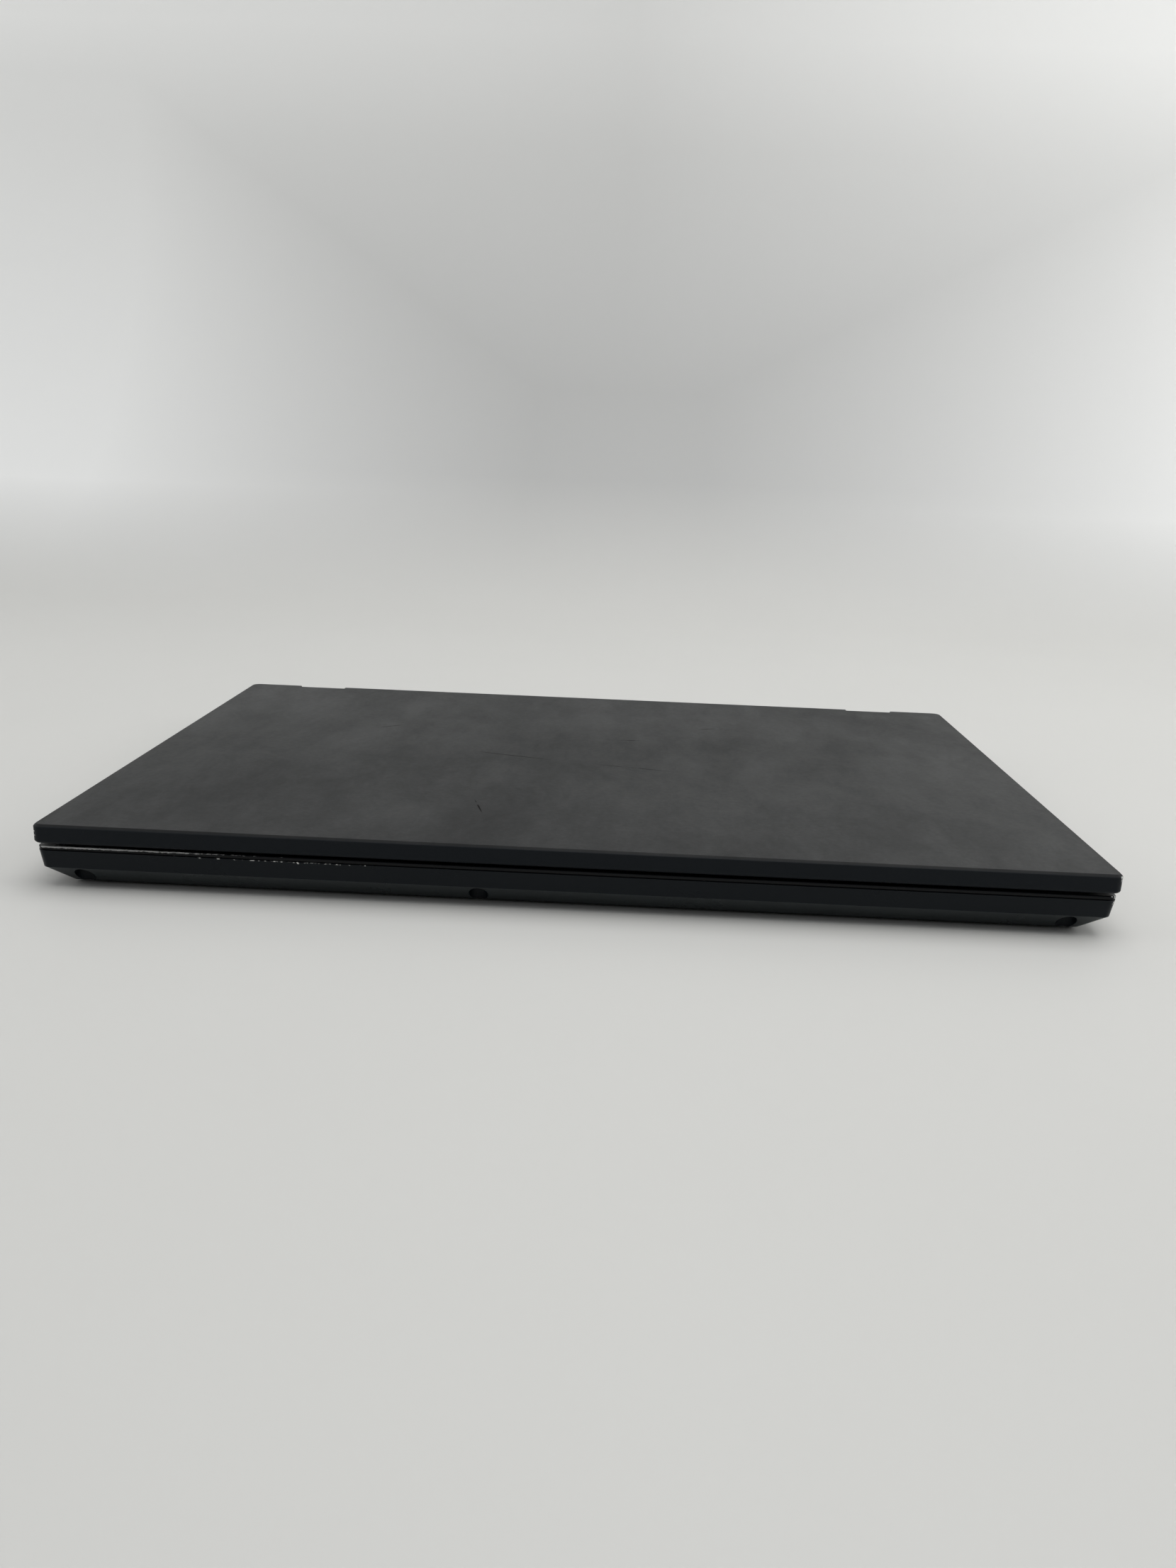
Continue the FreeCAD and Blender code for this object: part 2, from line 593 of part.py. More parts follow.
def edges_at(feature, level):
    """Names of a feature's edges that lie in one level."""
    doc.recompute()
    height = number(level)
    return [f"Edge{index}" for index, edge in enumerate(feature.Shape.Edges, 1)
            if all(abs(vertex.Z - height) < SAME_LEVEL for vertex in edge.Vertexes)]


def bevel(body, level, size):
    """A chamfer on the edges of a body that lie in one level."""
    last = body.Tip
    chamfer = body.newObject("PartDesign::Chamfer", f"{body.Name}_{size}")
    chamfer.Base = (last, edges_at(last, level))
    bind(chamfer, "Size", size)


# Lid

def make_lid_cover():
    blank = plate("lid_blank", LID_EDGES, None, ("lid_front_radius", "lid_rear_radius"),
                  "lid_bottom", "total_height")
    bevel(blank, "total_height", "lid_bevel")
    bevel(blank, "lid_bottom", "lid_lower_bevel")
    hollow = plate("lid_hollow", LID_EDGES, "lid_rim", ("lid_inner_radius", "lid_inner_radius"),
                   "lid_bottom", "total_height - lid_skin")
    blocks = []
    cuts = []
    for side, sign in SIDES:
        block_x = span(sign, "notch_inner - block_wall", "notch_outer + block_wall")
        blocks.append(box(f"lid_block_{side}", block_x, ("block_front", "lid_half_depth"),
                          ("lid_bottom", "total_height")))
        notch_x = span(sign, "notch_inner", "notch_outer")
        cuts.append(box(f"notch_{side}", notch_x, ("hinge_y + notch_overlap", "lid_half_depth + lid_rim"),
                        ("hinge_z", "total_height + lid_skin")))
        cuts.append(cylinder(f"notch_round_{side}", "x", "notch_radius",
                             (notch_x[0], "hinge_y", "hinge_z"), "notch_width"))
        slot_x = span(sign, "ear_inner - bezel_clearance", "ear_inner + ear_width + bezel_clearance")
        cuts.append(box(f"ear_slot_{side}", slot_x, ("block_front - leaf_gap", "hinge_y"),
                        ("lid_bottom", "stack_level + leaf_thickness + bezel_clearance")))
    space = cut("lid_space", hollow, blocks)
    node("lid_cover", cut("lid_cover_solid", blank, [space] + cuts))


def make_bezel():
    body = plate("bezel_plate", LID_EDGES, "bezel_inset", ("lid_inner_radius", "lid_inner_radius"),
                 "lid_bottom", "stack_level")
    cuts = [box("screen_opening", ("-screen_half_width", "screen_half_width"),
                ("-screen_front", "screen_rear"), ("lid_bottom", "stack_level"))]
    for side, sign in SIDES:
        gap_x = span(sign, "notch_inner - block_wall - bezel_clearance",
                     "notch_outer + block_wall + bezel_clearance")
        cuts.append(box(f"bezel_gap_{side}", gap_x, ("block_front - bezel_clearance", "lid_half_depth"),
                        ("lid_bottom - lid_gap", "stack_level + lid_gap")))
    cuts.append(cylinder("lens_hole", "z", "lens_radius + bezel_clearance", ("0", WEBCAM_Y, "lid_bottom"),
                         "bezel_thickness", ROUND_SIDES))
    node("display_bezel", cut("bezel_solid", body, cuts))


def make_display():
    node("lcd_module", box("lcd", ("-screen_half_width - lcd_frame", "screen_half_width + lcd_frame"),
                           ("-screen_front - lcd_frame", "leaf_front - leaf_gap"),
                           ("stack_level", "stack_level + lcd_thickness")))
    glass_x = ("-screen_half_width + glass_clearance", "screen_half_width - glass_clearance")
    glass_y = ("-screen_front + glass_clearance", "screen_rear - glass_clearance")
    node("display_glass", box("glass", glass_x, glass_y, ("lid_bottom + glass_recess", "stack_level")))
    board_y = (f"{WEBCAM_Y} - webcam_depth / 2", f"{WEBCAM_Y} + webcam_depth / 2")
    node("webcam_board", box("webcam", ("-webcam_length / 2", "webcam_length / 2"), board_y,
                             ("stack_level", "stack_level + webcam_height")))
    node("webcam_lens", cylinder("lens", "z", "lens_radius", ("0", WEBCAM_Y, "lid_bottom + lens_recess"),
                                 "bezel_thickness - lens_recess", ROUND_SIDES))
    antennas = []
    antenna_y = (f"{WEBCAM_Y} - antenna_depth / 2", f"{WEBCAM_Y} + antenna_depth / 2")
    antenna_z = ("stack_level", "stack_level + antenna_height")
    for side, sign in SIDES:
        reach = span(sign, "antenna_offset - antenna_length / 2", "antenna_offset + antenna_length / 2")
        antennas.append(box(f"antenna_{side}", reach, antenna_y, antenna_z))
    node("lid_antennas", group("antennas", antennas))


def make_bumpers():
    bumpers = []
    for side, sign in SIDES:
        for place_name, y in (("front", "-lid_half_depth + bumper_edge"), ("middle", "keys_front")):
            x = f"{sign} * (lid_half_width - bumper_edge)"
            bumpers.append(cylinder(f"bumper_{place_name}_{side}", "z", "bumper_radius",
                                    (x, y, "deck_top + bumper_clearance"), "lid_gap - bumper_clearance",
                                    BAR_SIDES))
    node("lid_bumpers", group("bumpers", bumpers))


# Hinges

def make_hinges():
    pins = []
    leaf_z = ("stack_level", "stack_level + leaf_thickness")
    leaf_outer = "lid_half_width - lid_rim - leaf_gap"
    for side, sign in SIDES:
        ear_x = span(sign, "ear_inner", "ear_inner + ear_width")
        ear = cylinder(f"ear_{side}", "x", "barrel_radius", (ear_x[0], "hinge_y", "hinge_z"), "ear_width")
        strap = box(f"ear_strap_{side}", ear_x, ("leaf_front", "hinge_y"), leaf_z)
        strip_x = span(sign, "ear_inner", leaf_outer)
        strip = box(f"arm_strip_{side}", strip_x, ("leaf_front", "leaf_rear"), leaf_z)
        leaf = box(f"arm_leaf_{side}", span(sign, "screen_half_width + lcd_frame + leaf_gap", leaf_outer),
                   ("leaf_front - leaf_length", "leaf_rear"), leaf_z)
        pin_x = span(sign, "ear_inner", "knuckle_outer")
        pin_length = "knuckle_outer - ear_inner"
        pin_hole = cylinder(f"ear_hole_{side}", "x", "pin_radius + pin_clearance",
                            (pin_x[0], "hinge_y", "hinge_z"), pin_length, BAR_SIDES)
        arm = fuse(f"arm_{side}", [ear, strap, strip, leaf])
        node(f"hinge_arm_{side}", cut(f"arm_solid_{side}", arm, [pin_hole]))
        pins.append(cylinder(f"pin_{side}", "x", "pin_radius", (pin_x[0], "hinge_y", "hinge_z"), pin_length,
                             BAR_SIDES))

        knuckle_x = span(sign, "knuckle_inner", "knuckle_outer")
        knuckle_length = "knuckle_outer - knuckle_inner"
        barrel = cylinder(f"barrel_{side}", "x", "barrel_radius", (knuckle_x[0], "hinge_y", "hinge_z"),
                          knuckle_length)
        neck = box(f"neck_{side}", knuckle_x, ("deck_rear - neck_window", "hinge_y"),
                   ("seam_level + neck_rise - neck_height", "seam_level + neck_rise"))
        base_plate = box(f"bracket_plate_{side}", span(sign, "knuckle_inner - bracket_side", "knuckle_outer"),
                         ("speaker_front", "deck_rear - cover_wall - strip_gap"),
                         ("seam_level - leaf_thickness", "seam_level"))
        bore = cylinder(f"barrel_bore_{side}", "x", "pin_radius + pin_clearance",
                        (knuckle_x[0], "hinge_y", "hinge_z"), knuckle_length, BAR_SIDES)
        bracket = fuse(f"bracket_{side}", [barrel, neck, base_plate])
        node(f"hinge_bracket_{side}", cut(f"bracket_solid_{side}", bracket, [bore]))
    node("hinge_pins", group("pins", pins))


def neck_windows(owner):
    """Cuts for the hinge necks through the rear edge of the base."""
    windows = []
    for side, sign in SIDES:
        window_x = span(sign, "knuckle_inner - barrel_clearance", "knuckle_outer + barrel_clearance")
        windows.append(box(f"{owner}_neck_window_{side}", window_x,
                           ("deck_rear - neck_window - barrel_clearance", "deck_rear + rear_gap"),
                           ("seam_level + neck_rise - neck_height - barrel_clearance", "deck_top + lid_gap")))
    return windows


# Screws of the bottom cover

def screw_places():
    """Name, x and y of each screw: three along the front and three along the rear."""
    front = "-deck_front + screw_edge"
    rear = "deck_rear - screw_edge"
    return (("front_left", "-screw_x", front), ("front_middle", "screw_middle", front),
            ("front_right", "screw_x", front), ("rear_left", "-screw_x", rear),
            ("rear_middle", "0", rear), ("rear_right", "screw_x", rear))


def screw_bars(prefix, radius, low, high, sides=0):
    """One upright bar at each screw."""
    return [cylinder(f"{prefix}_{name}", "z", radius, (x, y, low), f"({high}) - ({low})", sides)
            for name, x, y in screw_places()]


def make_screws():
    heads = screw_bars("head", "head_radius", "head_level - head_height", "head_level", BAR_SIDES)
    shanks = screw_bars("shank", "shank_radius", "head_level", "boss_level + thread_length", SHANK_SIDES)
    screws = [fuse(f"screw_{place_name[0]}", [head, shank])
              for place_name, head, shank in zip(screw_places(), heads, shanks)]
    node("bottom_screws", group("screws", screws))


# Base shells

def make_bottom_cover():
    outer = drafted("cover_outer", (("foot_height", "bottom_inset"), ("chamfer_top", "wall_lean"),
                                    ("seam_level", None)))
    cavity = drafted("cover_cavity", (("floor_top", "floor_inset"), ("inner_knee_level", "inner_knee_inset"),
                                      ("seam_level", "cover_wall")))
    bosses = screw_bars("boss", "boss_radius", "foot_height", "boss_level", SHANK_SIDES) + board_standoffs()
    space = cut("cover_space", cavity, bosses)
    cuts = screw_bars("counterbore", "bore_radius", "0", "head_level", BAR_SIDES)
    cuts += screw_bars("shank_hole", "shank_radius + shank_clearance", "head_level", "boss_level",
                       SHANK_SIDES)
    cuts += vent_slots() + socket_windows() + neck_windows("cover")
    node("bottom_cover", cut("cover_solid", outer, [space] + cuts))


def board_standoffs():
    """Posts that carry the circuit boards, and the seat of the network jack."""
    posts = []
    inset = "standoff_radius + board_thickness"
    for side, x in (("left", f"board_left + {inset}"), ("right", f"board_right - ({inset})")):
        for end, y in (("front", f"board_front + {inset}"), ("rear", f"board_rear - ({inset})")):
            posts.append(cylinder(f"standoff_{end}_{side}", "z", "standoff_radius", (x, y, "foot_height"),
                                  "board_level - foot_height", HEXAGON))
    for side, sign in SIDES:
        low, high = io_board_range(side)
        for end, y in (("front", f"{low} + {inset}"), ("rear", f"{high} - ({inset})")):
            x = f"{sign} * (port_face - usb_depth)"
            posts.append(cylinder(f"io_standoff_{end}_{side}", "z", "standoff_radius", (x, y, "foot_height"),
                                  "port_level - board_thickness - foot_height", HEXAGON))
    jack_y = socket_ranges("right")["network"]
    posts.append(box("network_seat", ("port_face - network_lip - network_depth", "floor_half_width"), jack_y,
                     ("foot_height", NETWORK_BOTTOM)))
    return posts


def vent_slots():
    """Intake slots under the fan and exhaust slots beside the fins."""
    slots = []
    for index in range(INTAKE_SLOTS):
        x = f"fan_x + {index - (INTAKE_SLOTS - 1) / 2} * intake_pitch"
        slots.append(box(f"intake_{index}", (f"{x} - intake_slot / 2", f"{x} + intake_slot / 2"),
                         ("fan_y - intake_length / 2", "fan_y + intake_length / 2"), ("0", "floor_top")))
    for index in range(EXHAUST_SLOTS):
        y = f"fan_y + {index - (EXHAUST_SLOTS - 1) / 2} * exhaust_pitch"
        low = "foot_height + exhaust_low"
        slots.append(box(f"exhaust_{index}", ("-lid_half_width", "-floor_half_width"),
                         (f"{y} - exhaust_slot / 2", f"{y} + exhaust_slot / 2"),
                         (low, f"{low} + exhaust_height")))
    return slots


def make_palm_rest():
    body = doc.addObject("PartDesign::Body", "deck_plate")
    lip = new_sketch(body, "deck_lip_outline", "seam_level")
    rounded_outline(lip, DECK_EDGES, "seam_depth", ("base_radius", "base_radius"))
    pad_up(body, lip, "deck_lip", "seam_height")
    rim = new_sketch(body, "deck_outline", "seam_level + seam_height")
    rounded_outline(rim, DECK_EDGES, None, ("base_radius", "base_radius"))
    pad_up(body, rim, "deck_rim", "rim_thickness - seam_height")
    bevel(body, "deck_top", "deck_bevel")
    posts = screw_bars("post", "post_radius", "boss_level", "seam_level + seam_height", SHANK_SIDES)
    deck = fuse("deck_with_posts", [body] + posts)
    above = "deck_top + lid_gap"
    cuts = screw_bars("post_hole", "shank_radius + shank_clearance", "boss_level",
                      "boss_level + thread_length", SHANK_SIDES)
    cuts += neck_windows("deck")
    cuts.append(box("keyboard_opening", ("-field_half_width", "field_half_width"),
                    ("field_front", "field_rear"), ("seam_level", above)))
    cuts.append(box("touch_opening", touch_x_range("touch_edge"),
                    ("touchpad_front - touch_edge", "buttons_rear + touch_edge"), ("seam_level", above)))
    cuts.append(cylinder("power_hole", "z", "power_radius + seat_clearance",
                         ("power_offset", "grille_y", "seam_level"), "rim_thickness", ROUND_SIDES))
    for side, sign in SIDES:
        grille_x = span(sign, "speaker_near", "speaker_near + speaker_length")
        cuts.append(box(f"grille_opening_{side}", widened(grille_x, "seat_clearance"),
                        widened(GRILLE_Y, "seat_clearance"), ("seam_level", above)))
    reach = "sensor_size / 2 + seat_clearance"
    cuts.append(box("sensor_opening", (f"sensor_x - ({reach})", f"sensor_x + {reach}"),
                    (f"sensor_y - ({reach})", f"sensor_y + {reach}"), ("seam_level", above)))
    node("palm_rest", cut("deck_solid", deck, cuts))


def make_feet():
    feet = []
    outer = "deck_half_width - bottom_inset - foot_side"
    inset = "bottom_inset + foot_edge"
    places = (("front", f"-deck_front + {inset}", f"-deck_front + {inset} + foot_width"),
              ("rear", f"deck_rear - ({inset}) - foot_width", f"deck_rear - ({inset})"))
    for side, sign in SIDES:
        x = span(sign, f"{outer} - foot_length", outer)
        for end, *y in places:
            feet.append(frustum(f"foot_{end}_{side}", widened(x, "(-foot_taper)"),
                                widened(y, "(-foot_taper)"), x, y, ("0", "foot_height")))
    node("feet", group("feet_set", feet))


# Keyboard

def key_rectangles():
    """Row and rectangle of every key, from the rear left to the front right."""
    pitch = number("key_pitch")
    pad_pitch = number("numpad_pitch")
    left = number("keys_left")
    pad_left = left + MAIN_UNITS * pitch + number("numpad_gap")
    rows = (("function", FUNCTION_KEYS, [1, 1, 1, 1], False), ("number", NUMBER_KEYS, [1, 1, 1, 1], False),
            ("upper", UPPER_KEYS, [1, 1, 1, 1], True), ("home", HOME_KEYS, [1, 1, 1], False),
            ("lower", LOWER_KEYS, [1, 1, 1, 1], True), ("space", SPACE_KEYS, [2, 1], False))
    keys = []
    rear = number("keys_rear")
    for name, widths, pad_widths, last_is_tall in rows:
        depth = number("function_pitch") if name == "function" else number("row_pitch")
        front = rear - depth
        x = left
        for index, width in enumerate(widths):
            is_bar = name == "space" and index == SPACE_BAR_INDEX
            keys.append(("bar" if is_bar else name, x, x + width * pitch, front, rear))
            x += width * pitch
        if name == "space":
            keys += arrow_rectangles(x, left + MAIN_UNITS * pitch, front, rear)
        x = pad_left
        for index, width in enumerate(pad_widths):
            is_tall = last_is_tall and index == len(pad_widths) - 1
            keys.append((name, x, x + width * pad_pitch, front - depth if is_tall else front, rear))
            x += width * pad_pitch
        rear = front
    return keys


def arrow_rectangles(left, right, front, rear):
    """Half-height keys in columns at the front right of the letter keys."""
    column = (right - left) / ARROW_COLUMNS
    middle = (front + rear) / 2
    halves = ((front, middle), (middle, rear))
    return [("space", left + step * column, left + (step + 1) * column, low, high)
            for step in range(ARROW_COLUMNS) for low, high in halves]


def rectangle_wire(x_low, x_high, y_low, y_high, z):
    points = ((x_low, y_low), (x_high, y_low), (x_high, y_high), (x_low, y_high), (x_low, y_low))
    return Part.makePolygon([Vector(x, y, z) for x, y in points])


def keycap(x_low, x_high, y_low, y_high):
    """A cap with straight sides and a bevelled top."""
    gap = number("key_gap") / 2
    bevel_size = number("key_bevel")
    top = number("key_top")
    skirt = (x_low + gap, x_high - gap, y_low + gap, y_high - gap)
    crown = (skirt[0] + bevel_size, skirt[1] - bevel_size, skirt[2] + bevel_size, skirt[3] - bevel_size)
    outlines = [rectangle_wire(*skirt, number("key_bottom")),
                rectangle_wire(*skirt, top - bevel_size),
                rectangle_wire(*crown, top)]
    return Part.makeLoft(outlines, True, True)


def stick_centre():
    rows_behind = number("function_pitch") + 3 * number("row_pitch")
    return number("keys_left") + STICK_UNITS * number("key_pitch"), number("keys_rear") - rows_behind


def make_keys():
    rows = {}
    x, y = stick_centre()
    clear = number("stick_radius") + number("stick_clearance")
    stick_room = Part.makeCylinder(clear, number("key_height"), Vector(x, y, number("key_bottom")))
    for row, *rectangle in key_rectangles():
        cap = keycap(*rectangle)
        if cap.distToShape(stick_room)[0] == 0:
            cap = cap.cut(stick_room)
        rows.setdefault(row, []).append(cap)
    for row, caps in rows.items():
        keys = doc.addObject("Part::Feature", f"{row}_keys")
        keys.Shape = Part.makeCompound(caps)
        keys.Placement = Placement()
        node("space_bar" if row == "bar" else f"keys_{row}_row", keys)


def make_keyboard_frame():
    edge = number("seat_clearance")
    left = -number("field_half_width") + edge
    front = number("field_front") + edge
    level = number("seam_level")
    thickness = number("web_thickness")
    web = Part.makeBox(-2 * left, number("field_rear") - edge - front, thickness, Vector(left, front, level))
    spread = number("key_gap") / 2 - number("key_clearance")
    windows = [Part.makeBox(x_high - x_low - 2 * spread, y_high - y_low - 2 * spread, thickness,
                            Vector(x_low + spread, y_low + spread, level))
               for row, x_low, x_high, y_low, y_high in key_rectangles()]
    x, y = stick_centre()
    clear = number("stick_radius") + number("stick_clearance")
    stick_room = Part.makeCylinder(clear, thickness, Vector(x, y, level))
    frame = doc.addObject("Part::Feature", "key_frame")
    frame.Shape = web.cut(Part.makeCompound(windows)).cut(stick_room)
    frame.Placement = Placement()
    node("keyboard_frame", frame)


def make_trays():
    outer = box("key_tray_outer", ("-field_half_width - tray_flange", "field_half_width + tray_flange"),
                ("field_front - tray_flange", "tray_rear"), ("tray_bottom", "seam_level"))
    inner = box("key_tray_inner", ("-field_half_width + tray_ledge", "field_half_width - tray_ledge"),
                ("field_front + tray_ledge", "field_rear - tray_ledge"), ("tray_floor", "deck_top"))
    node("keyboard_tray", cut("key_tray", outer, [inner]))
    outer = box("touch_tray_outer", touch_x_range("touch_edge + tray_flange"),
                ("touchpad_front - touch_edge - tray_flange", "buttons_rear + touch_edge + tray_flange"),
                ("touch_bottom", "seam_level"))
    inner = box("touch_tray_inner", touch_x_range("touch_edge"),
                ("touchpad_front - touch_edge", "buttons_rear + touch_edge"), ("touch_floor", "deck_top"))
    node("touchpad_tray", cut("touch_tray", outer, [inner]))


def make_pointing_stick():
    x, y = f"keys_left + {STICK_UNITS} * key_pitch", "keys_rear - function_pitch - 3 * row_pitch"
    cap_level = "key_top - stick_cap_height"
    stem = cylinder("stick_stem", "z", "stick_stem_radius", (x, y, "tray_floor"), f"{cap_level} - tray_floor",
                    SHANK_SIDES)
    cap = cylinder("stick_cap", "z", "stick_radius", (x, y, cap_level), "stick_cap_height - stick_dome",
                   BAR_SIDES)
    crown = cylinder("stick_crown", "z", "stick_radius - stick_dome", (x, y, "key_top - stick_dome"),
                     "stick_dome", BAR_SIDES)
    node("pointing_stick", fuse("stick", [stem, cap, crown]))


# Touchpad, buttons and the strip behind the keyboard

def touch_x_range(beyond):
    reach = f"(touchpad_width / 2 + {beyond})"
    return f"touch_x - {reach}", f"touch_x + {reach}"


def make_touchpad():
    top = "deck_top - touchpad_drop"
    node("touchpad", pill("touch_plate", "touch_x", "(touchpad_front + touchpad_rear) / 2",
                          "touchpad_width / 2", "touchpad_depth / 2", "touchpad_radius",
                          f"{top} - touchpad_thickness", top))


def make_pointer_buttons():
    top = "deck_top + button_rise"
    middle_width = "(touchpad_width - 2 * button_width - 2 * touch_gap)"
    side_shift = "(touchpad_width / 2 - button_width / 2)"
    buttons = (("left", f"touch_x - {side_shift}", "button_width / 2"),
               ("middle", "touch_x", f"{middle_width} / 2"),
               ("right", f"touch_x + {side_shift}", "button_width / 2"))
    y = ("buttons_front", "buttons_rear")
    shoulder = f"{top} - key_bevel"
    for name, centre, half_width in buttons:
        x = widened((centre, centre), half_width)
        skirt = box(f"button_skirt_{name}", x, y, (f"{top} - button_height", shoulder))
        crown = frustum(f"button_crown_{name}", x, y, widened(x, "(-key_bevel)"), widened(y, "(-key_bevel)"),
                        (shoulder, top))
        node(f"pointer_button_{name}", fuse(f"button_{name}", [skirt, crown]))


def make_strip_controls():
    node("power_button", cylinder("power_cap", "z", "power_radius",
                                  ("power_offset", "grille_y", "seam_level"), "rim_thickness + power_rise",
                                  ROUND_SIDES))
    half = "sensor_size / 2"
    wide = "(sensor_size / 2 + sensor_flange)"
    window = box("sensor_window", (f"sensor_x - {half}", f"sensor_x + {half}"),
                 (f"sensor_y - {half}", f"sensor_y + {half}"),
                 ("seam_level - flange_height", "deck_top - sensor_drop"))
    flange = box("sensor_base", (f"sensor_x - {wide}", f"sensor_x + {wide}"),
                 (f"sensor_y - {wide}", f"sensor_y + {wide}"), ("seam_level - flange_height", "seam_level"))
    node("fingerprint_reader", fuse("sensor", [window, flange]))
    grilles = []
    speakers = []
    for side, sign in SIDES:
        reach = span(sign, "speaker_near", "speaker_near + speaker_length")
        sheet = box(f"grille_sheet_{side}", reach, GRILLE_Y, ("seam_level", "deck_top - sensor_drop"))
        slots = []
        for index in range(GRILLE_SLOTS):
            x = f"{reach[0]} + {(index + 0.5) / GRILLE_SLOTS} * speaker_length"
            slots.append(box(f"grille_slot_{side}_{index}", widened((x, x), "grille_slot / 2"),
                             widened(GRILLE_Y, "(-grille_bar)"), ("seam_level", "deck_top")))
        grilles.append(cut(f"grille_{side}", sheet, slots))
        speakers.append(box(f"speaker_{side}", reach, ("speaker_front", "speaker_rear"),
                            ("seam_level - speaker_height", "seam_level")))
    node("speaker_grilles", group("grilles", grilles))
    node("speakers", group("speaker_pair", speakers))


# Inside the base

def make_boards():
    board = box("main_board", ("board_left", "board_right"), ("board_front", "board_rear"),
                ("board_level", "board_top"))
    chips = [chip("processor_chip", PLATE_X), chip("hub_chip", f"{PLATE_X} + plate_size + chip_size")]
    node("motherboard", fuse("board_with_chips", [board] + chips))
    for side, sign in SIDES:
        low, high = io_board_range(side)
        deepest = "slot_depth" if side == "right" else "usb_depth"
        edge = "floor_half_width + port_level - board_thickness - floor_top - port_clearance"
        node(f"io_board_{side}", box(f"io_{side}", span(sign, f"port_face - {deepest} - port_backing", edge),
                                     (low, high), ("port_level - board_thickness", "port_level")))


def chip(name, x):
    return box(name, (f"{x} - chip_size / 2", f"{x} + chip_size / 2"),
               ("pipe_y - chip_size / 2", "pipe_y + chip_size / 2"), ("board_top", "plate_level"))


def make_battery():
    half = "(floor_half_width - battery_side)"
    pack = box("battery_block", (f"-{half}", half), ("battery_y", "battery_y + battery_depth"),
               ("floor_top", "touch_bottom - battery_top_gap"))
    grooves = []
    for index in range(1, BATTERY_CELLS):
        x = f"{half} * {2 * index / BATTERY_CELLS - 1}"
        grooves.append(box(f"cell_groove_{index}", (f"{x} - cell_gap / 2", f"{x} + cell_gap / 2"),
                           ("battery_y", "battery_y + battery_depth"),
                           ("touch_bottom - battery_top_gap - cell_groove", "touch_bottom")))
    node("battery_pack", cut("battery", pack, grooves))


def make_cooling():
    housing = box("fan_case", widened(("fan_x", "fan_x"), "fan_size / 2"),
                  widened(("fan_y", "fan_y"), "fan_size / 2"), ("floor_top", "fan_top"))
    chamber_low = "floor_top + fan_wall"
    chamber_high = "fan_top - fan_wall"
    chamber = cylinder("fan_chamber", "z", "chamber_radius / cos(180 / " + str(ROUND_SIDES) + ")",
                       ("fan_x", "fan_y", chamber_low), f"{chamber_high} - ({chamber_low})", ROUND_SIDES)
    inlet = cylinder("fan_inlet", "z", "fan_inlet_radius", ("fan_x", "fan_y", "floor_top"), "fan_wall",
                     ROUND_SIDES)
    outlet = box("fan_outlet", ("fan_left - fin_edge", "fan_x"),
                 ("fan_y - chamber_radius", "fan_y + chamber_radius"), (chamber_low, chamber_high))
    open_case = cut("fan_open_case", housing, [chamber, inlet, outlet])
    rotor_low = f"{chamber_low} + rotor_clearance"
    shaft = cylinder("fan_shaft", "z", "post_pin_radius", ("fan_x", "fan_y", rotor_low),
                     f"fan_top - ({rotor_low})", BAR_SIDES)
    node("fan_housing", fuse("fan_case_with_shaft", [open_case, shaft]))

    rotor = doc.addObject("PartDesign::Body", "rotor_body")
    place(rotor, "fan_x", "fan_y")
    height = f"{chamber_high} - rotor_clearance - ({rotor_low})"
    hub_outline = new_sketch(rotor, "hub_outline", rotor_low)
    hub_outline.addGeometry(Part.Circle(Vector(), Vector(0, 0, 1), number("hub_radius")))
    hub_outline.addConstraint(Sketcher.Constraint("Coincident", 0, 3, -1, 1))
    drive(hub_outline, Sketcher.Constraint("Radius", 0, number("hub_radius")), "hub", "hub_radius")
    pad_up(rotor, hub_outline, "hub", height)
    blade_outline = new_sketch(rotor, "blade_outline", rotor_low)
    draw_blade(blade_outline)
    blade = pad_up(rotor, blade_outline, "blade", height)
    blades = rotor.newObject("PartDesign::PolarPattern", "blades")
    blades.Originals = [blade]
    blades.Axis = (blade_outline, ["N_Axis"])
    blades.Angle = 360
    blades.Occurrences = FAN_BLADES
    rotor.Tip = blades
    bore = cylinder("rotor_bore", "z", "post_pin_radius + post_pin_clearance",
                    ("fan_x", "fan_y", "floor_top"), "fan_top - floor_top")
    node("fan_rotor", cut("rotor", rotor, [bore]))

    fins = []
    fin_x = ("-floor_half_width + fin_edge", "-floor_half_width + fin_edge + fin_depth")
    fin_y = ("pipe_y - pipe_width / 2", "fan_back")
    for name, low in (("fin_base", "floor_top"), ("fin_top", "pipe_level - fin_thickness")):
        fins.append(box(name, fin_x, fin_y, (low, f"{low} + fin_thickness")))
    for index in range(FIN_COUNT):
        y = f"{fin_y[0]} + ({fin_y[1]} - ({fin_y[0]}) - fin_thickness) * {index / (FIN_COUNT - 1)}"
        fins.append(box(f"fin_{index}", fin_x, (y, f"{y} + fin_thickness"), ("floor_top", "pipe_level")))
    node("fin_stack", fuse("fins", fins))
    plate_half = "plate_size / 2"
    node("cold_plate", box("cold_block", widened((PLATE_X, PLATE_X), plate_half),
                           widened(("pipe_y", "pipe_y"), plate_half), ("plate_level", "pipe_level")))
    pipe_left = fin_x[0]
    pipe_right = f"{PLATE_X} + {plate_half}"
    node("heat_pipe", pill("pipe", f"({pipe_left} + {pipe_right}) / 2", "pipe_y",
                           f"({pipe_right} - ({pipe_left})) / 2", "pipe_width / 2", "pipe_round",
                           "pipe_level", "pipe_level + pipe_height"))


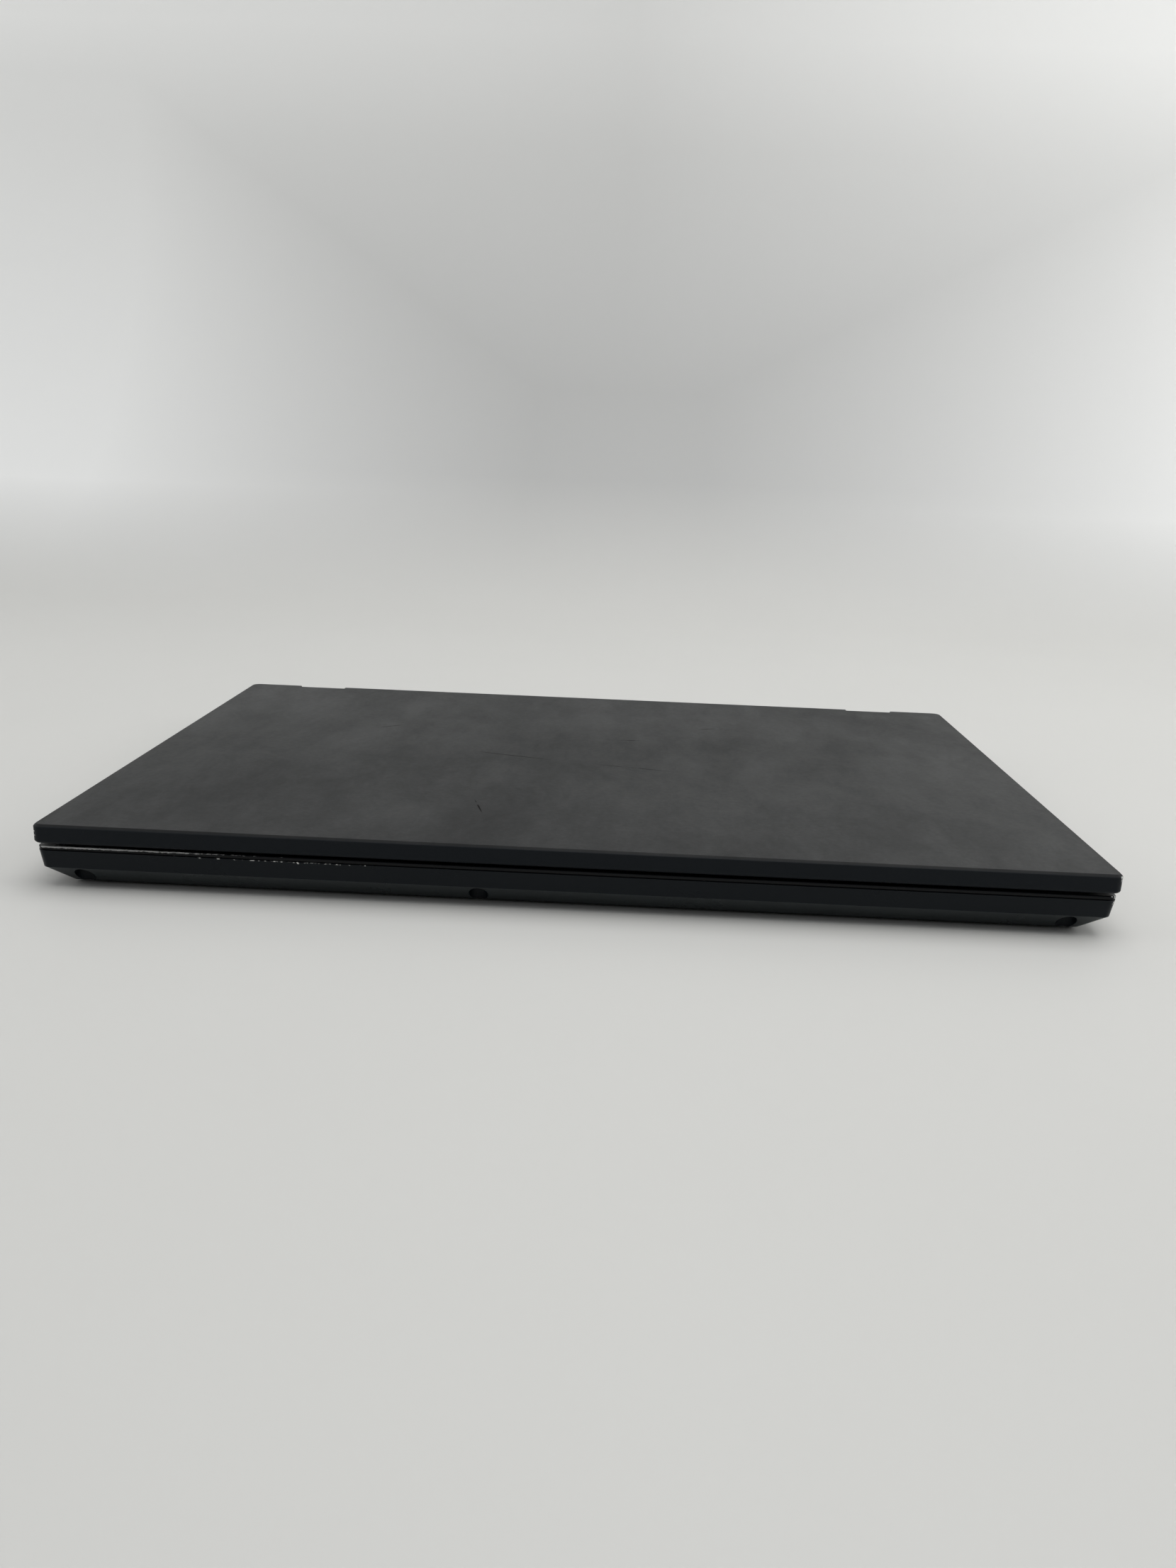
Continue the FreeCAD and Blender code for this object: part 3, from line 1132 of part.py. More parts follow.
def draw_blade(sketch):
    """A straight blade that leans back from the hub to the tip."""
    half = "blade_thickness / 2"
    root_x = "hub_radius - blade_thickness"
    tip_x = f"sqrt((chamber_radius - rotor_tip) ^ 2 - (blade_lean + {half}) ^ 2)"
    tip_high = f"blade_lean + {half}"
    tip_low = f"blade_lean - {half}"
    reach = math.sqrt((number("chamber_radius") - number("rotor_tip")) ** 2 - number(tip_high) ** 2)
    corners = [(number(root_x), -number(half)), (reach, number(tip_low)), (reach, number(tip_high)),
               (number(root_x), number(half))]
    for index, (x, y) in enumerate(corners):
        after = corners[(index + 1) % 4]
        sketch.addGeometry(Part.LineSegment(Vector(x, y, 0), Vector(*after, 0)))
    for index in range(4):
        sketch.addConstraint(Sketcher.Constraint("Coincident", index, 2, (index + 1) % 4, 1))
    for index, formula in enumerate((root_x, tip_x, tip_x, root_x)):
        across = Sketcher.Constraint("DistanceX", -1, 1, index, 1, corners[index][0])
        drive(sketch, across, f"x_{index}", formula)
    for index, formula in ((1, tip_low), (2, tip_high), (3, half)):
        along = Sketcher.Constraint("DistanceY", -1, 1, index, 1, corners[index][1])
        drive(sketch, along, f"y_{index}", formula)
    drive(sketch, Sketcher.Constraint("DistanceY", 0, 1, -1, 1, number(half)), "y_0", half)


def make_modules():
    right = "board_right - memory_inset"
    modules = []
    for index in range(2):
        front = f"board_front + memory_inset + {index} * (memory_depth + card_height)"
        modules.append(box(f"memory_{index}", (f"{right} - memory_length", right),
                           (front, f"{front} + memory_depth"), ("board_top", "board_top + memory_height")))
    node("memory_modules", group("memory_pair", modules))
    rear = "board_rear - drive_inset"
    node("solid_state_drive", box("drive", (f"{right} - drive_length", right),
                                  (f"{rear} - drive_width", rear), ("board_top", "board_top + drive_height")))
    card_right = f"{right} - drive_length - drive_inset"
    node("wireless_card", box("card", (f"{card_right} - card_length", card_right),
                              (f"{rear} - card_width", rear), ("board_top", "board_top + card_height")))
    coin_y = "board_front + memory_inset + coin_radius"
    node("coin_cell", cylinder("coin", "z", "coin_radius", (PLATE_X, coin_y, "board_top"), "coin_height",
                               ROUND_SIDES))


# Sockets

def socket_ranges(side):
    """Range of y of each socket along one side, laid out from the front."""
    order = (("audio", "usb_front", "usb_rear", "hdmi", "display") if side == "left"
             else ("slot", "usb_front", "usb_rear", "network"))
    ranges = {}
    low = "-deck_front + first_port"
    for name in order:
        high = f"{low} + {name.split('_')[0]}_width"
        ranges[name] = (low, high)
        low = f"{high} + port_space"
    return ranges


def socket_heights(name):
    if name == "network":
        return NETWORK_BOTTOM, "seam_level - port_headroom"
    return "port_level", f"port_level + {name.split('_')[0]}_height"


def io_board_range(side):
    """Range of y of the board that carries the sockets of one side."""
    ranges = socket_ranges(side)
    last = "usb_rear" if side == "right" else "display"
    return f"{list(ranges.values())[0][0]} - port_backing", f"{ranges[last][1]} + port_backing"


def widened(bounds, gap):
    return f"{bounds[0]} - {gap}", f"{bounds[1]} + {gap}"


def socket_windows():
    windows = []
    for side, sign in SIDES:
        for name, y in socket_ranges(side).items():
            windows.append(box(f"{name}_window_{side}", span(sign, "floor_half_width", "lid_half_width"),
                               widened(y, "port_clearance"), widened(socket_heights(name), "port_clearance")))
    inlet_x = ("inlet_offset - inlet_width / 2", "inlet_offset + inlet_width / 2")
    windows.append(box("inlet_window", widened(inlet_x, "port_clearance"), ("floor_rear", "lid_half_depth"),
                       widened(("port_level", "port_level + inlet_height"), "port_clearance")))
    windows.append(box("lock_slot", ("floor_half_width", "lid_half_width"), *LOCK_SLOT))
    return windows


def socket(name, sign, y, z, depth, shell, face, has_tongue):
    """A shell open towards the side of the base, with or without a contact tongue."""
    outer = box(f"{name}_outer", span(sign, f"{face} - {depth}", face), y, z)
    inner = box(f"{name}_inner", span(sign, f"{face} - {depth} + {shell}", f"{face} + {shell}"),
                widened(y, f"(-{shell})"), widened(z, f"(-{shell})"))
    hollow = cut(f"{name}_hollow", outer, [inner])
    if not has_tongue:
        return hollow
    middle = f"({z[0]} + {z[1]}) / 2"
    tongue = box(f"{name}_tongue", span(sign, f"{face} - {depth}", f"{face} - tongue_setback"),
                 widened(y, f"(-2 * {shell})"), widened((middle, middle), "tongue_thickness / 2"))
    return fuse(f"{name}_socket", [hollow, tongue])


def make_sockets():
    usb = []
    for side, sign in SIDES:
        for name, y in socket_ranges(side).items():
            kind = name.split("_")[0]
            z = socket_heights(name)
            if kind == "usb":
                usb.append(socket(f"{name}_{side}", sign, y, z, "usb_depth", "port_shell", "port_face", True))
            elif kind == "audio":
                node("audio_jack", audio_jack(sign, y, z))
            elif kind == "network":
                node("network_jack", socket(name, sign, y, z, "network_depth", "network_shell",
                                            "port_face - network_lip", False))
            else:
                label = {"hdmi": "hdmi_socket", "display": "display_socket", "slot": "card_slot"}[kind]
                node(label, socket(name, sign, y, z, f"{kind}_depth", "port_shell", "port_face",
                                   kind != "slot"))
    node("usb_sockets", group("usb_set", usb))


def audio_jack(sign, y, z):
    block = box("audio_block", span(sign, "port_face - audio_depth", "port_face"), y, z)
    start = "-port_face" if sign < 0 else "port_face - audio_depth + port_shell"
    centre = (f"({y[0]} + {y[1]}) / 2", f"({z[0]} + {z[1]}) / 2")
    bore = cylinder("audio_hole", "x", "audio_bore", (start, *centre), "audio_depth - port_shell")
    return cut("audio_solid", block, [bore])


def make_rear_and_lock():
    face = "deck_rear - wall_lean - port_setback"
    inlet_x = ("inlet_offset - inlet_width / 2", "inlet_offset + inlet_width / 2")
    inlet_z = ("port_level", "port_level + inlet_height")
    outer = box("inlet_outer", inlet_x, (f"{face} - inlet_depth", face), inlet_z)
    inner = box("inlet_inner", widened(inlet_x, "(-port_shell)"),
                (f"{face} - inlet_depth + port_shell", f"{face} + port_shell"),
                widened(inlet_z, "(-port_shell)"))
    hollow = cut("inlet_hollow", outer, [inner])
    middle = "(port_level + port_level + inlet_height) / 2"
    tongue = box("inlet_tongue", widened(inlet_x, "(-inlet_width / 4)"),
                 (f"{face} - inlet_depth", f"{face} - tongue_setback"),
                 widened((middle, middle), "tongue_thickness / 2"))
    node("power_inlet", fuse("inlet", [hollow, tongue]))
    back = "knee_half_width - cover_wall - port_clearance"
    plate_block = box("lock_block", (f"{back} - lock_plate", back), widened(LOCK_SLOT[0], "lock_height"),
                      widened(LOCK_SLOT[1], "port_clearance"))
    hole = box("lock_hole", (f"{back} - 2 * lock_plate", f"{back} + lock_plate"), *LOCK_SLOT)
    node("lock_plate", cut("lock_solid", plate_block, [hole]))


def check_objects():
    doc.recompute()
    for item in doc.Objects:
        if "Invalid" in item.State or "Error" in item.State:
            raise RuntimeError(f"{item.Label} failed: {item.State}")
    for piece in nodes:
        if piece.Shape.isNull() or not piece.Shape.isValid():
            raise RuntimeError(f"{piece.Label} has no valid shape")


def main():
    fill_sheets()
    make_lid_cover()
    make_bezel()
    make_display()
    make_bumpers()
    make_hinges()
    make_bottom_cover()
    make_palm_rest()
    make_feet()
    make_screws()
    make_keys()
    make_keyboard_frame()
    make_trays()
    make_pointing_stick()
    make_touchpad()
    make_pointer_buttons()
    make_strip_controls()
    make_boards()
    make_battery()
    make_cooling()
    make_modules()
    make_sockets()
    make_rear_and_lock()
    check_objects()
    os.makedirs("parts", exist_ok=True)
    for piece in nodes:
        piece.Shape.exportStep(f"parts/{piece.Label}.step")


main()
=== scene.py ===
import math

import bmesh
import bpy
from mathutils import Matrix, Vector


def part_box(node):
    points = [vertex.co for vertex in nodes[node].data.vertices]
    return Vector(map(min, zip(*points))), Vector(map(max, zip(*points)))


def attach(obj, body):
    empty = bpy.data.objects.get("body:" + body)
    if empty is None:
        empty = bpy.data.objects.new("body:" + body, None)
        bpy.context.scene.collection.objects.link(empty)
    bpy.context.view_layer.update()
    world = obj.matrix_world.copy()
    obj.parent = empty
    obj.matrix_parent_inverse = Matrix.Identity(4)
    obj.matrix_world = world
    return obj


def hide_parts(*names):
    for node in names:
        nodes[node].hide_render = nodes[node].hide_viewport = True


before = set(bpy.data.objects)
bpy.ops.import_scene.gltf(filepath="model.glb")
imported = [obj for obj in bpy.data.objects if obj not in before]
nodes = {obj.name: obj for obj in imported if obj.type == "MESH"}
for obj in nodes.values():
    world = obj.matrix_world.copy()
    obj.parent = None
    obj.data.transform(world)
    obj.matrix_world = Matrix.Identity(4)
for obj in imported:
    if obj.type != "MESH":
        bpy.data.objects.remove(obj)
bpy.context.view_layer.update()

# A closed notebook computer on a pale floor, in metres, in the frame of its solids

MM = 0.001

lid_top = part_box("lid_cover")[1].z
deck_low, deck_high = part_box("palm_rest")
cover_low, cover_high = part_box("bottom_cover")

# Camera: the photograph is 2212 pixels high, and its focal length is given in those pixels
PHOTO_HEIGHT = 2212
FOCAL_PIXELS = 1661
SENSOR = 36
NEAREST = 0.01
CAMERA_PLACE = (0.01405, -0.51043, 0.1591)
CAMERA_TURN = math.radians(1.406)
CAMERA_DROP = math.radians(16.10)
CAMERA_ROLL = math.radians(2.22)

# Stage: a floor that curves up into a backdrop, with painted shade in the curve and painted light on the
# backdrop, most of all to both sides
FLOOR_HALF_WIDTH = 3.0
FLOOR_FRONT = -2.5
BACKDROP_START = 0.55
BACKDROP_RADIUS = 0.5
BACKDROP_HEIGHT = 2.2
BACKDROP_STEPS = 16
FLOOR_COLOUR = (0.583, 0.578, 0.553)
CURVE_SHADE_COLOUR = (0.465, 0.465, 0.455)
BACKDROP_LIT_COLOUR = (0.70, 0.70, 0.685)
BACKDROP_SIDE_LIT_COLOUR = (0.95, 0.95, 0.93)
FLOOR_CLOUD = 6
FLOOR_LIGHTER = 1.03
FLOOR_ROUGHNESS = 0.6
FLOOR_SPECULAR = 0.25
# Where one colour of the stage turns into the next: heights first, then places along X
CURVE_BAND = (0.0, 0.12)
UPPER_BAND = (0.22, 0.62)
SIDE_RISE = (0.0, 0.1)
RIGHT_BAND = (0.1, 0.8)
LEFT_BAND = (-0.1, -0.6)
RIGHT_SHARE = 0.9
LEFT_SHARE = 0.85
OUTER_REACH = 0.8

# Light: a soft world that is dim low in front, and three softboxes
WORLD_COLOUR = (0.93, 0.96, 1.0)
WORLD_STRENGTH = 0.5
WORLD_DIM = 0.03
WORLD_SEEN = 0.62
SKY_BAND = (0.3, 0.7)
FRONT_BAND = (-0.7, 0.0)
LAMPS = (
    {"name": "overhead_softbox", "place": (0.2, -0.1, 1.5), "aim": (0, 0, 0), "size": (1.8, 1.4),
     "power": 16},
    {"name": "right_softbox", "place": (1.5, -0.2, 0.9), "aim": (0.6, 1.0, 0.4), "size": (0.8, 0.8),
     "power": 8},
    {"name": "left_softbox", "place": (-1.5, -0.2, 0.9), "aim": (-0.6, 1.0, 0.4), "size": (0.8, 0.8),
     "power": 4},
)


# Shader building blocks

NOISE_RANGE = (0.3, 0.7)


def add(tree, kind, inputs=None, **settings):
    """A shader node with settings, and input values or links by socket name or number."""
    node = tree.nodes.new(kind)
    for name, value in settings.items():
        setattr(node, name, value)
    for name, value in (inputs or {}).items():
        set_input(tree, node, name, value)
    return node


def set_input(tree, node, name, value):
    socket = node.inputs[name]
    if isinstance(value, bpy.types.NodeSocket):
        tree.links.new(value, socket)
    else:
        socket.default_value = value


def place_of(tree):
    """Position in the object's own frame, in metres."""
    return add(tree, "ShaderNodeTexCoord").outputs["Object"]


def axes_of(tree, vector):
    return add(tree, "ShaderNodeSeparateXYZ", {"Vector": vector}).outputs


def stretched(tree, vector, scale, turn=0.0):
    node = add(tree, "ShaderNodeMapping", {"Vector": vector, "Scale": scale, "Rotation": (0, 0, turn)})
    return node.outputs["Vector"]


def noise(tree, vector, scale, detail=2.0, roughness=0.5, distortion=0.0):
    inputs = {"Vector": vector, "Scale": scale, "Detail": detail, "Roughness": roughness,
              "Distortion": distortion}
    return add(tree, "ShaderNodeTexNoise", inputs).outputs["Fac"]


def remap(tree, value, low, high, new_low=0.0, new_high=1.0):
    inputs = {"Value": value, "From Min": low, "From Max": high, "To Min": new_low, "To Max": new_high}
    return add(tree, "ShaderNodeMapRange", inputs, clamp=True).outputs["Result"]


def spread(tree, value, start, end):
    """Noise, stretched from its usual range to a new one."""
    return remap(tree, value, *NOISE_RANGE, start, end)


def fade(tree, mask, start, end):
    """A value that goes from start to end as a mask rises from zero to one."""
    return remap(tree, mask, 0.0, 1.0, start, end)


def chain(tree, operation, *values):
    """Values taken together one after the other by one operation."""
    result = values[0]
    for value in values[1:]:
        node = add(tree, "ShaderNodeMath", {0: result, 1: value}, operation=operation)
        result = node.outputs["Value"]
    return result


def times(tree, *values):
    return chain(tree, "MULTIPLY", *values)


def largest(tree, *values):
    return chain(tree, "MAXIMUM", *values)


def plus(tree, *values):
    return chain(tree, "ADD", *values)


def minus(tree, first, second):
    return chain(tree, "SUBTRACT", first, second)


def vector_math(tree, operation, *vectors):
    return add(tree, "ShaderNodeVectorMath", dict(enumerate(vectors)), operation=operation).outputs


def blend_colour(tree, factor, first, second):
    node = add(tree, "ShaderNodeMix", data_type="RGBA")
    tree.links.new(factor, node.inputs["Factor"])
    for socket, value in ((node.inputs[6], first), (node.inputs[7], second)):
        if isinstance(value, bpy.types.NodeSocket):
            tree.links.new(value, socket)
        else:
            socket.default_value = (*value, 1.0)
    return node.outputs[2]


def bump(tree, height, distance, strength=1.0):
    inputs = {"Height": height, "Distance": distance, "Strength": strength}
    return add(tree, "ShaderNodeBump", inputs).outputs["Normal"]


def near(tree, value, centre, reach):
    """One at a place along an axis, fading to zero at a reach to both sides."""
    offset = minus(tree, value, centre)
    away = add(tree, "ShaderNodeMath", {0: offset}, operation="ABSOLUTE").outputs["Value"]
    return remap(tree, away, 0.0, reach, 1.0, 0.0)


def plan_distance(tree, vector, centre):
    """Distance from an upright axis."""
    flat = vector_math(tree, "MULTIPLY", vector, (1, 1, 0))["Vector"]
    return vector_math(tree, "DISTANCE", flat, (centre.x, centre.y, 0))["Value"]


def new_surface(name):
    material = bpy.data.materials.new(name)
    material.use_nodes = True
    tree = material.node_tree
    return material, tree, tree.nodes["Principled BSDF"]


# Plain surfaces

GRAIN_DEPTH = 0.02 * MM
GRAIN_TO_CLOUD = 40
GLOSS_VARIATION = 0.07
ALONG_X = (1, 12, 12)
ROLLED = (1, 14, 14)
BARE_METAL = {"metallic": 1.0, "specular": 0.5}
SURFACES = {
    "key_plastic": {"colour": (0.007, 0.007, 0.0078), "roughness": 0.5, "grain": 2200, "specular": 0.25},
    "legend_ink": {"colour": (0.5, 0.51, 0.52), "roughness": 0.5, "grain": 2600, "variation": 0.1},
    "frame_plastic": {"colour": (0.014, 0.014, 0.016), "roughness": 0.55, "grain": 2000},
    "plated_steel": {"colour": (0.13, 0.13, 0.135), "roughness": 0.34, "grain": 900, "variation": 0.2,
                     "stretch": ALONG_X, **BARE_METAL},
    "black_steel": {"colour": (0.03, 0.03, 0.032), "roughness": 0.4, "grain": 900, "variation": 0.2,
                    **BARE_METAL},
    "nickel": {"colour": (0.55, 0.55, 0.56), "roughness": 0.3, "grain": 700, "variation": 0.12,
               **BARE_METAL},
    "aluminium_sheet": {"colour": (0.6, 0.6, 0.62), "roughness": 0.36, "grain": 800, "variation": 0.1,
                        "stretch": ROLLED, **BARE_METAL},
    "black_sheet": {"colour": (0.02, 0.02, 0.021), "roughness": 0.45, "grain": 800, "variation": 0.2,
                    "stretch": ROLLED},
    "copper": {"colour": (0.72, 0.42, 0.28), "roughness": 0.32, "grain": 700, "variation": 0.18,
               **BARE_METAL},
    "screen_film": {"colour": (0.006, 0.0065, 0.009), "roughness": 0.2, "grain": 3000, "variation": 0.15,
                    "specular": 0.5},
    "lens_glass": {"colour": (0.006, 0.006, 0.012), "roughness": 0.08, "grain": 2000, "variation": 0.3,
                   "specular": 0.6},
    "display_back": {"colour": (0.42, 0.43, 0.45), "roughness": 0.4, "grain": 600, "variation": 0.08,
                     **BARE_METAL},
    "solder_mask": {"colour": (0.015, 0.075, 0.04), "roughness": 0.38, "grain": 900, "variation": 0.4,
                    "specular": 0.4},
    "battery_film": {"colour": (0.02, 0.02, 0.021), "roughness": 0.42, "grain": 700},
    "coin_steel": {"colour": (0.6, 0.6, 0.6), "roughness": 0.28, "grain": 900, "variation": 0.1,
                   **BARE_METAL},
    "inner_plastic": {"colour": (0.016, 0.016, 0.017), "roughness": 0.5, "grain": 1500},
    "rubber": {"colour": (0.018, 0.018, 0.018), "roughness": 0.8, "grain": 1800, "variation": 0.3,
               "specular": 0.15},
    "touchpad_film": {"colour": (0.009, 0.009, 0.0098), "roughness": 0.42, "grain": 2600, "variation": 0.2},
    "sensor_film": {"colour": (0.01, 0.01, 0.011), "roughness": 0.16, "grain": 1800, "variation": 0.2,
                    "specular": 0.5},
}
# The nodes that keep their solids, by surface
DRESSED = {
    "frame_plastic": ("keyboard_frame", "speaker_grilles"),
    "plated_steel": ("hinge_arm_left", "hinge_arm_right", "hinge_bracket_left", "hinge_bracket_right",
                     "hinge_pins", "lock_plate"),
    "nickel": ("card_slot",),
    "aluminium_sheet": ("fin_stack", "cold_plate"),
    "black_sheet": ("keyboard_tray", "touchpad_tray"),
    "copper": ("heat_pipe",),
    "screen_film": ("display_glass",),
    "lens_glass": ("webcam_lens",),
    "display_back": ("lcd_module",),
    "solder_mask": ("motherboard", "io_board_left", "io_board_right", "webcam_board", "memory_modules",
                    "solid_state_drive", "wireless_card", "lid_antennas"),
    "battery_film": ("battery_pack",),
    "coin_steel": ("coin_cell",),
    "inner_plastic": ("fan_housing", "fan_rotor", "speakers", "audio_jack", "network_jack", "power_inlet"),
    "touchpad_film": ("touchpad",),
    "sensor_film": ("fingerprint_reader",),
}


def plain_surface(name, colour, roughness, grain, variation=0.25, metallic=0.0, specular=0.3,
                  stretch=(1, 1, 1)):
    """A plain surface with fine grain, and colour and gloss that vary a little."""
    material, tree, shader = new_surface(name)
    vector = stretched(tree, place_of(tree), stretch)
    fine = noise(tree, vector, grain, detail=3.0)
    broad = noise(tree, vector, grain / GRAIN_TO_CLOUD, detail=4.0)
    darker = tuple(channel * (1 - variation) for channel in colour)
    lighter = tuple(min(channel * (1 + variation), 1.0) for channel in colour)
    gloss = spread(tree, fine, roughness - GLOSS_VARIATION, roughness + GLOSS_VARIATION)
    set_input(tree, shader, "Base Color", blend_colour(tree, broad, darker, lighter))
    set_input(tree, shader, "Roughness", gloss)
    set_input(tree, shader, "Normal", bump(tree, fine, GRAIN_DEPTH))
    set_input(tree, shader, "Metallic", metallic)
    set_input(tree, shader, "Specular IOR Level", specular)
    return material


# Painted casing

PAINT_DARK = (0.0042, 0.0046, 0.0052)
PAINT_LIGHT = (0.0060, 0.0066, 0.0074)
# The walls of the bottom cover and the sides of the lid: the same paint tinted blue, a painted bluish shade
WALL_SHADE_DARK = (0.0036, 0.0056, 0.0078)
WALL_SHADE_LIGHT = (0.0052, 0.0078, 0.0104)
# Below the knee, on the chamfer and underside: the same paint lightened, painted light from the bright
# floor they face
BELOW_KNEE_LIT_DARK = (0.024, 0.0282, 0.0295)
BELOW_KNEE_LIT_LIGHT = (0.029, 0.0344, 0.036)
BARE_EDGE = (0.62, 0.62, 0.60)
PAINT_GRAIN = 2600
PAINT_BUMP = 0.8
PAINT_GLOSS = (0.25, 0.35)
PAINT_SPECULAR = 0.14
# The height at which the wall of the bottom cover turns into its chamfer
KNEE = 8.1 * MM
KNEE_BAND = (KNEE + 0.1 * MM, KNEE - 0.2 * MM)
BORE_RADIUS = 3.47 * MM
BORE_EDGE = 0.1 * MM

# Centre and reach of each chip, in millimetres; the lid's specks at its corners are partly chipped paint
# and partly a painted highlight on the corner rounding
LID_CHIPS_AND_HIGHLIGHT = ((-188.6, -126.1, 22.0, 0.6), (-188.4, -126.2, 20.4, 0.5), (188.4, -126.1, 23.4, 0.9),
             (188.7, -126.0, 22.4, 0.8), (188.9, -125.7, 21.6, 0.6))
RIM_CHIPS = ((187.9, -124.65, 15.95, 0.9), (186.6, -125.2, 16.1, 0.5), (-187.9, -124.6, 15.5, 0.5))
COVER_CHIPS = ((187.85, -124.6, 13.8, 0.6), (187.4, -124.9, 13.2, 0.4), (-96.0, -125.5, 14.45, 0.8))
CHIP_GRAIN = 1500
CHIP_RAGGED = 0.8
CHIP_EDGE = 0.1

# The worn line along the palm rest's front edge
RIM_DEPTH = 1.2 * MM
RIM_LEVEL = deck_high.z - 0.12 * MM
RIM_REACH = 0.62 * MM
RIM_ALONG = (-0.075, -0.175)
RIM_GRAIN = 800
RIM_STRETCH = (1, 2, 2)
RIM_NOISE = (0.25, 0.75)
RIM_LOSS = (0.1, 0.6)
RIM_EDGE = 0.12

# The chips along the bottom cover's upper front edge
COVER_DEPTH = 1.0 * MM
COVER_BAND = (cover_high.z - 0.34 * MM, cover_high.z - 0.2 * MM)
COVER_LEFT = (-0.16, -0.12)
COVER_RIGHT = (-0.035, -0.085)
COVER_GRAIN = 900
COVER_STRETCH = (0.55, 1, 1)
COVER_LIMIT = (0.75, 0.54)
COVER_EDGE = 0.03

# The light beside the camera's lens
LIGHT_OFFSET = Vector((7.5 * MM, 0, 0))
LIGHT_BAND = (0.4 * MM, 0.5 * MM)
LIGHT_PALE = 0.5


def outside_bores(tree, vector):
    """Zero inside the deep bores of the screws, where little light falls, and one elsewhere."""
    masks = []
    for low, high in islands("bottom_screws"):
        away = plan_distance(tree, vector, (low + high) / 2)
        masks.append(remap(tree, away, BORE_RADIUS, BORE_RADIUS + BORE_EDGE))
    return times(tree, *masks)


def painted(name, wear, has_painted_light=False):
    """Dark paint with fine grain, rubbed bright where the wear function says; with painted light, the walls
    take a bluish painted shade, and below the knee, outside the screw bores, a lighter tone is painted
    light from the bright floor.
    """
    material, tree, shader = new_surface(name)
    vector = place_of(tree)
    axes = axes_of(tree, vector)
    grain = noise(tree, vector, PAINT_GRAIN)
    cloud = noise(tree, vector, 30, detail=4.0, roughness=0.6)
    if has_painted_light:
        # Painted shade on the walls, and painted light from the floor below the knee
        wall = blend_colour(tree, cloud, WALL_SHADE_DARK, WALL_SHADE_LIGHT)
        floor_lit = blend_colour(tree, cloud, BELOW_KNEE_LIT_DARK, BELOW_KNEE_LIT_LIGHT)
        below = times(tree, remap(tree, axes["Z"], *KNEE_BAND), outside_bores(tree, vector))
        colour = blend_colour(tree, below, wall, floor_lit)
    else:
        colour = blend_colour(tree, cloud, PAINT_DARK, PAINT_LIGHT)
    worn = wear(tree, vector, axes)
    set_input(tree, shader, "Base Color", blend_colour(tree, worn, colour, BARE_EDGE))
    set_input(tree, shader, "Roughness", spread(tree, cloud, *PAINT_GLOSS))
    set_input(tree, shader, "Normal", bump(tree, grain, GRAIN_DEPTH, PAINT_BUMP))
    set_input(tree, shader, "Specular IOR Level", PAINT_SPECULAR)
    return material


def chips(tree, vector, places):
    """Bright ragged specks."""
    ragged = spread(tree, noise(tree, vector, CHIP_GRAIN, detail=3.0, roughness=0.6), 0.0, CHIP_RAGGED)
    specks = []
    for x, y, z, reach in places:
        away = vector_math(tree, "DISTANCE", vector, (x * MM, y * MM, z * MM))["Value"]
        closeness = remap(tree, away, 0.0, reach * MM, 1.0, 0.0)
        specks.append(remap(tree, minus(tree, closeness, ragged), 0.0, CHIP_EDGE))
    return largest(tree, *specks)


def rim_wear(tree, vector, axes):
    """A bright line on the palm rest's front edge, which thins out and breaks up from the left corner."""
    at_front = near(tree, axes["Y"], deck_low.y, RIM_DEPTH)
    at_edge = near(tree, axes["Z"], RIM_LEVEL, RIM_REACH)
    along = remap(tree, axes["X"], *RIM_ALONG)
    ragged = noise(tree, stretched(tree, vector, RIM_STRETCH), RIM_GRAIN, detail=4.0, roughness=0.7)
    loss = remap(tree, ragged, *RIM_NOISE, *RIM_LOSS)
    line = minus(tree, times(tree, at_front, at_edge, along), loss)
    return largest(tree, remap(tree, line, 0.0, RIM_EDGE), chips(tree, vector, RIM_CHIPS))


def cover_wear(tree, vector, axes):
    """Small chips along the bottom cover's upper front edge, mostly on its left half."""
    at_front = near(tree, axes["Y"], cover_low.y, COVER_DEPTH)
    at_edge = remap(tree, axes["Z"], *COVER_BAND)
    along = times(tree, remap(tree, axes["X"], *COVER_LEFT), remap(tree, axes["X"], *COVER_RIGHT))
    ragged = noise(tree, stretched(tree, vector, COVER_STRETCH), COVER_GRAIN, detail=4.0, roughness=0.65)
    excess = minus(tree, ragged, fade(tree, along, *COVER_LIMIT))
    row = times(tree, at_front, at_edge, remap(tree, excess, 0.0, COVER_EDGE))
    return largest(tree, row, chips(tree, vector, COVER_CHIPS))


def bezel_marks(tree, vector, axes):
    """The light that shows when the camera is on, beside its lens."""
    low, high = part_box("webcam_lens")
    away = plan_distance(tree, vector, (low + high) / 2 + LIGHT_OFFSET)
    return remap(tree, away, *LIGHT_BAND, LIGHT_PALE, 0.0)


# Lid

# Middle, half length and turn of each scratch, in millimetres and degrees
SCRATCHES = ((20.2, 33.9, 8.5, 8.7), (-32.3, -3.9, 22.7, -14.5), (21.7, -15.8, 20.3, -10.7),
             (-38.1, -81.5, 10.6, -73.5), (58.0, 64.0, 6.0, 21.0), (-96.0, 41.0, 9.0, 34.0))
SCRATCH_WIDTH = 0.45 * MM
SCRATCH_BAND = (0.1, 0.4)
SCRATCH_BREAKS = (0.3, 0.45)
SCRATCH_COLOUR = (0.0005, 0.0005, 0.0005)
SCRATCH_SPECULAR = 0.02
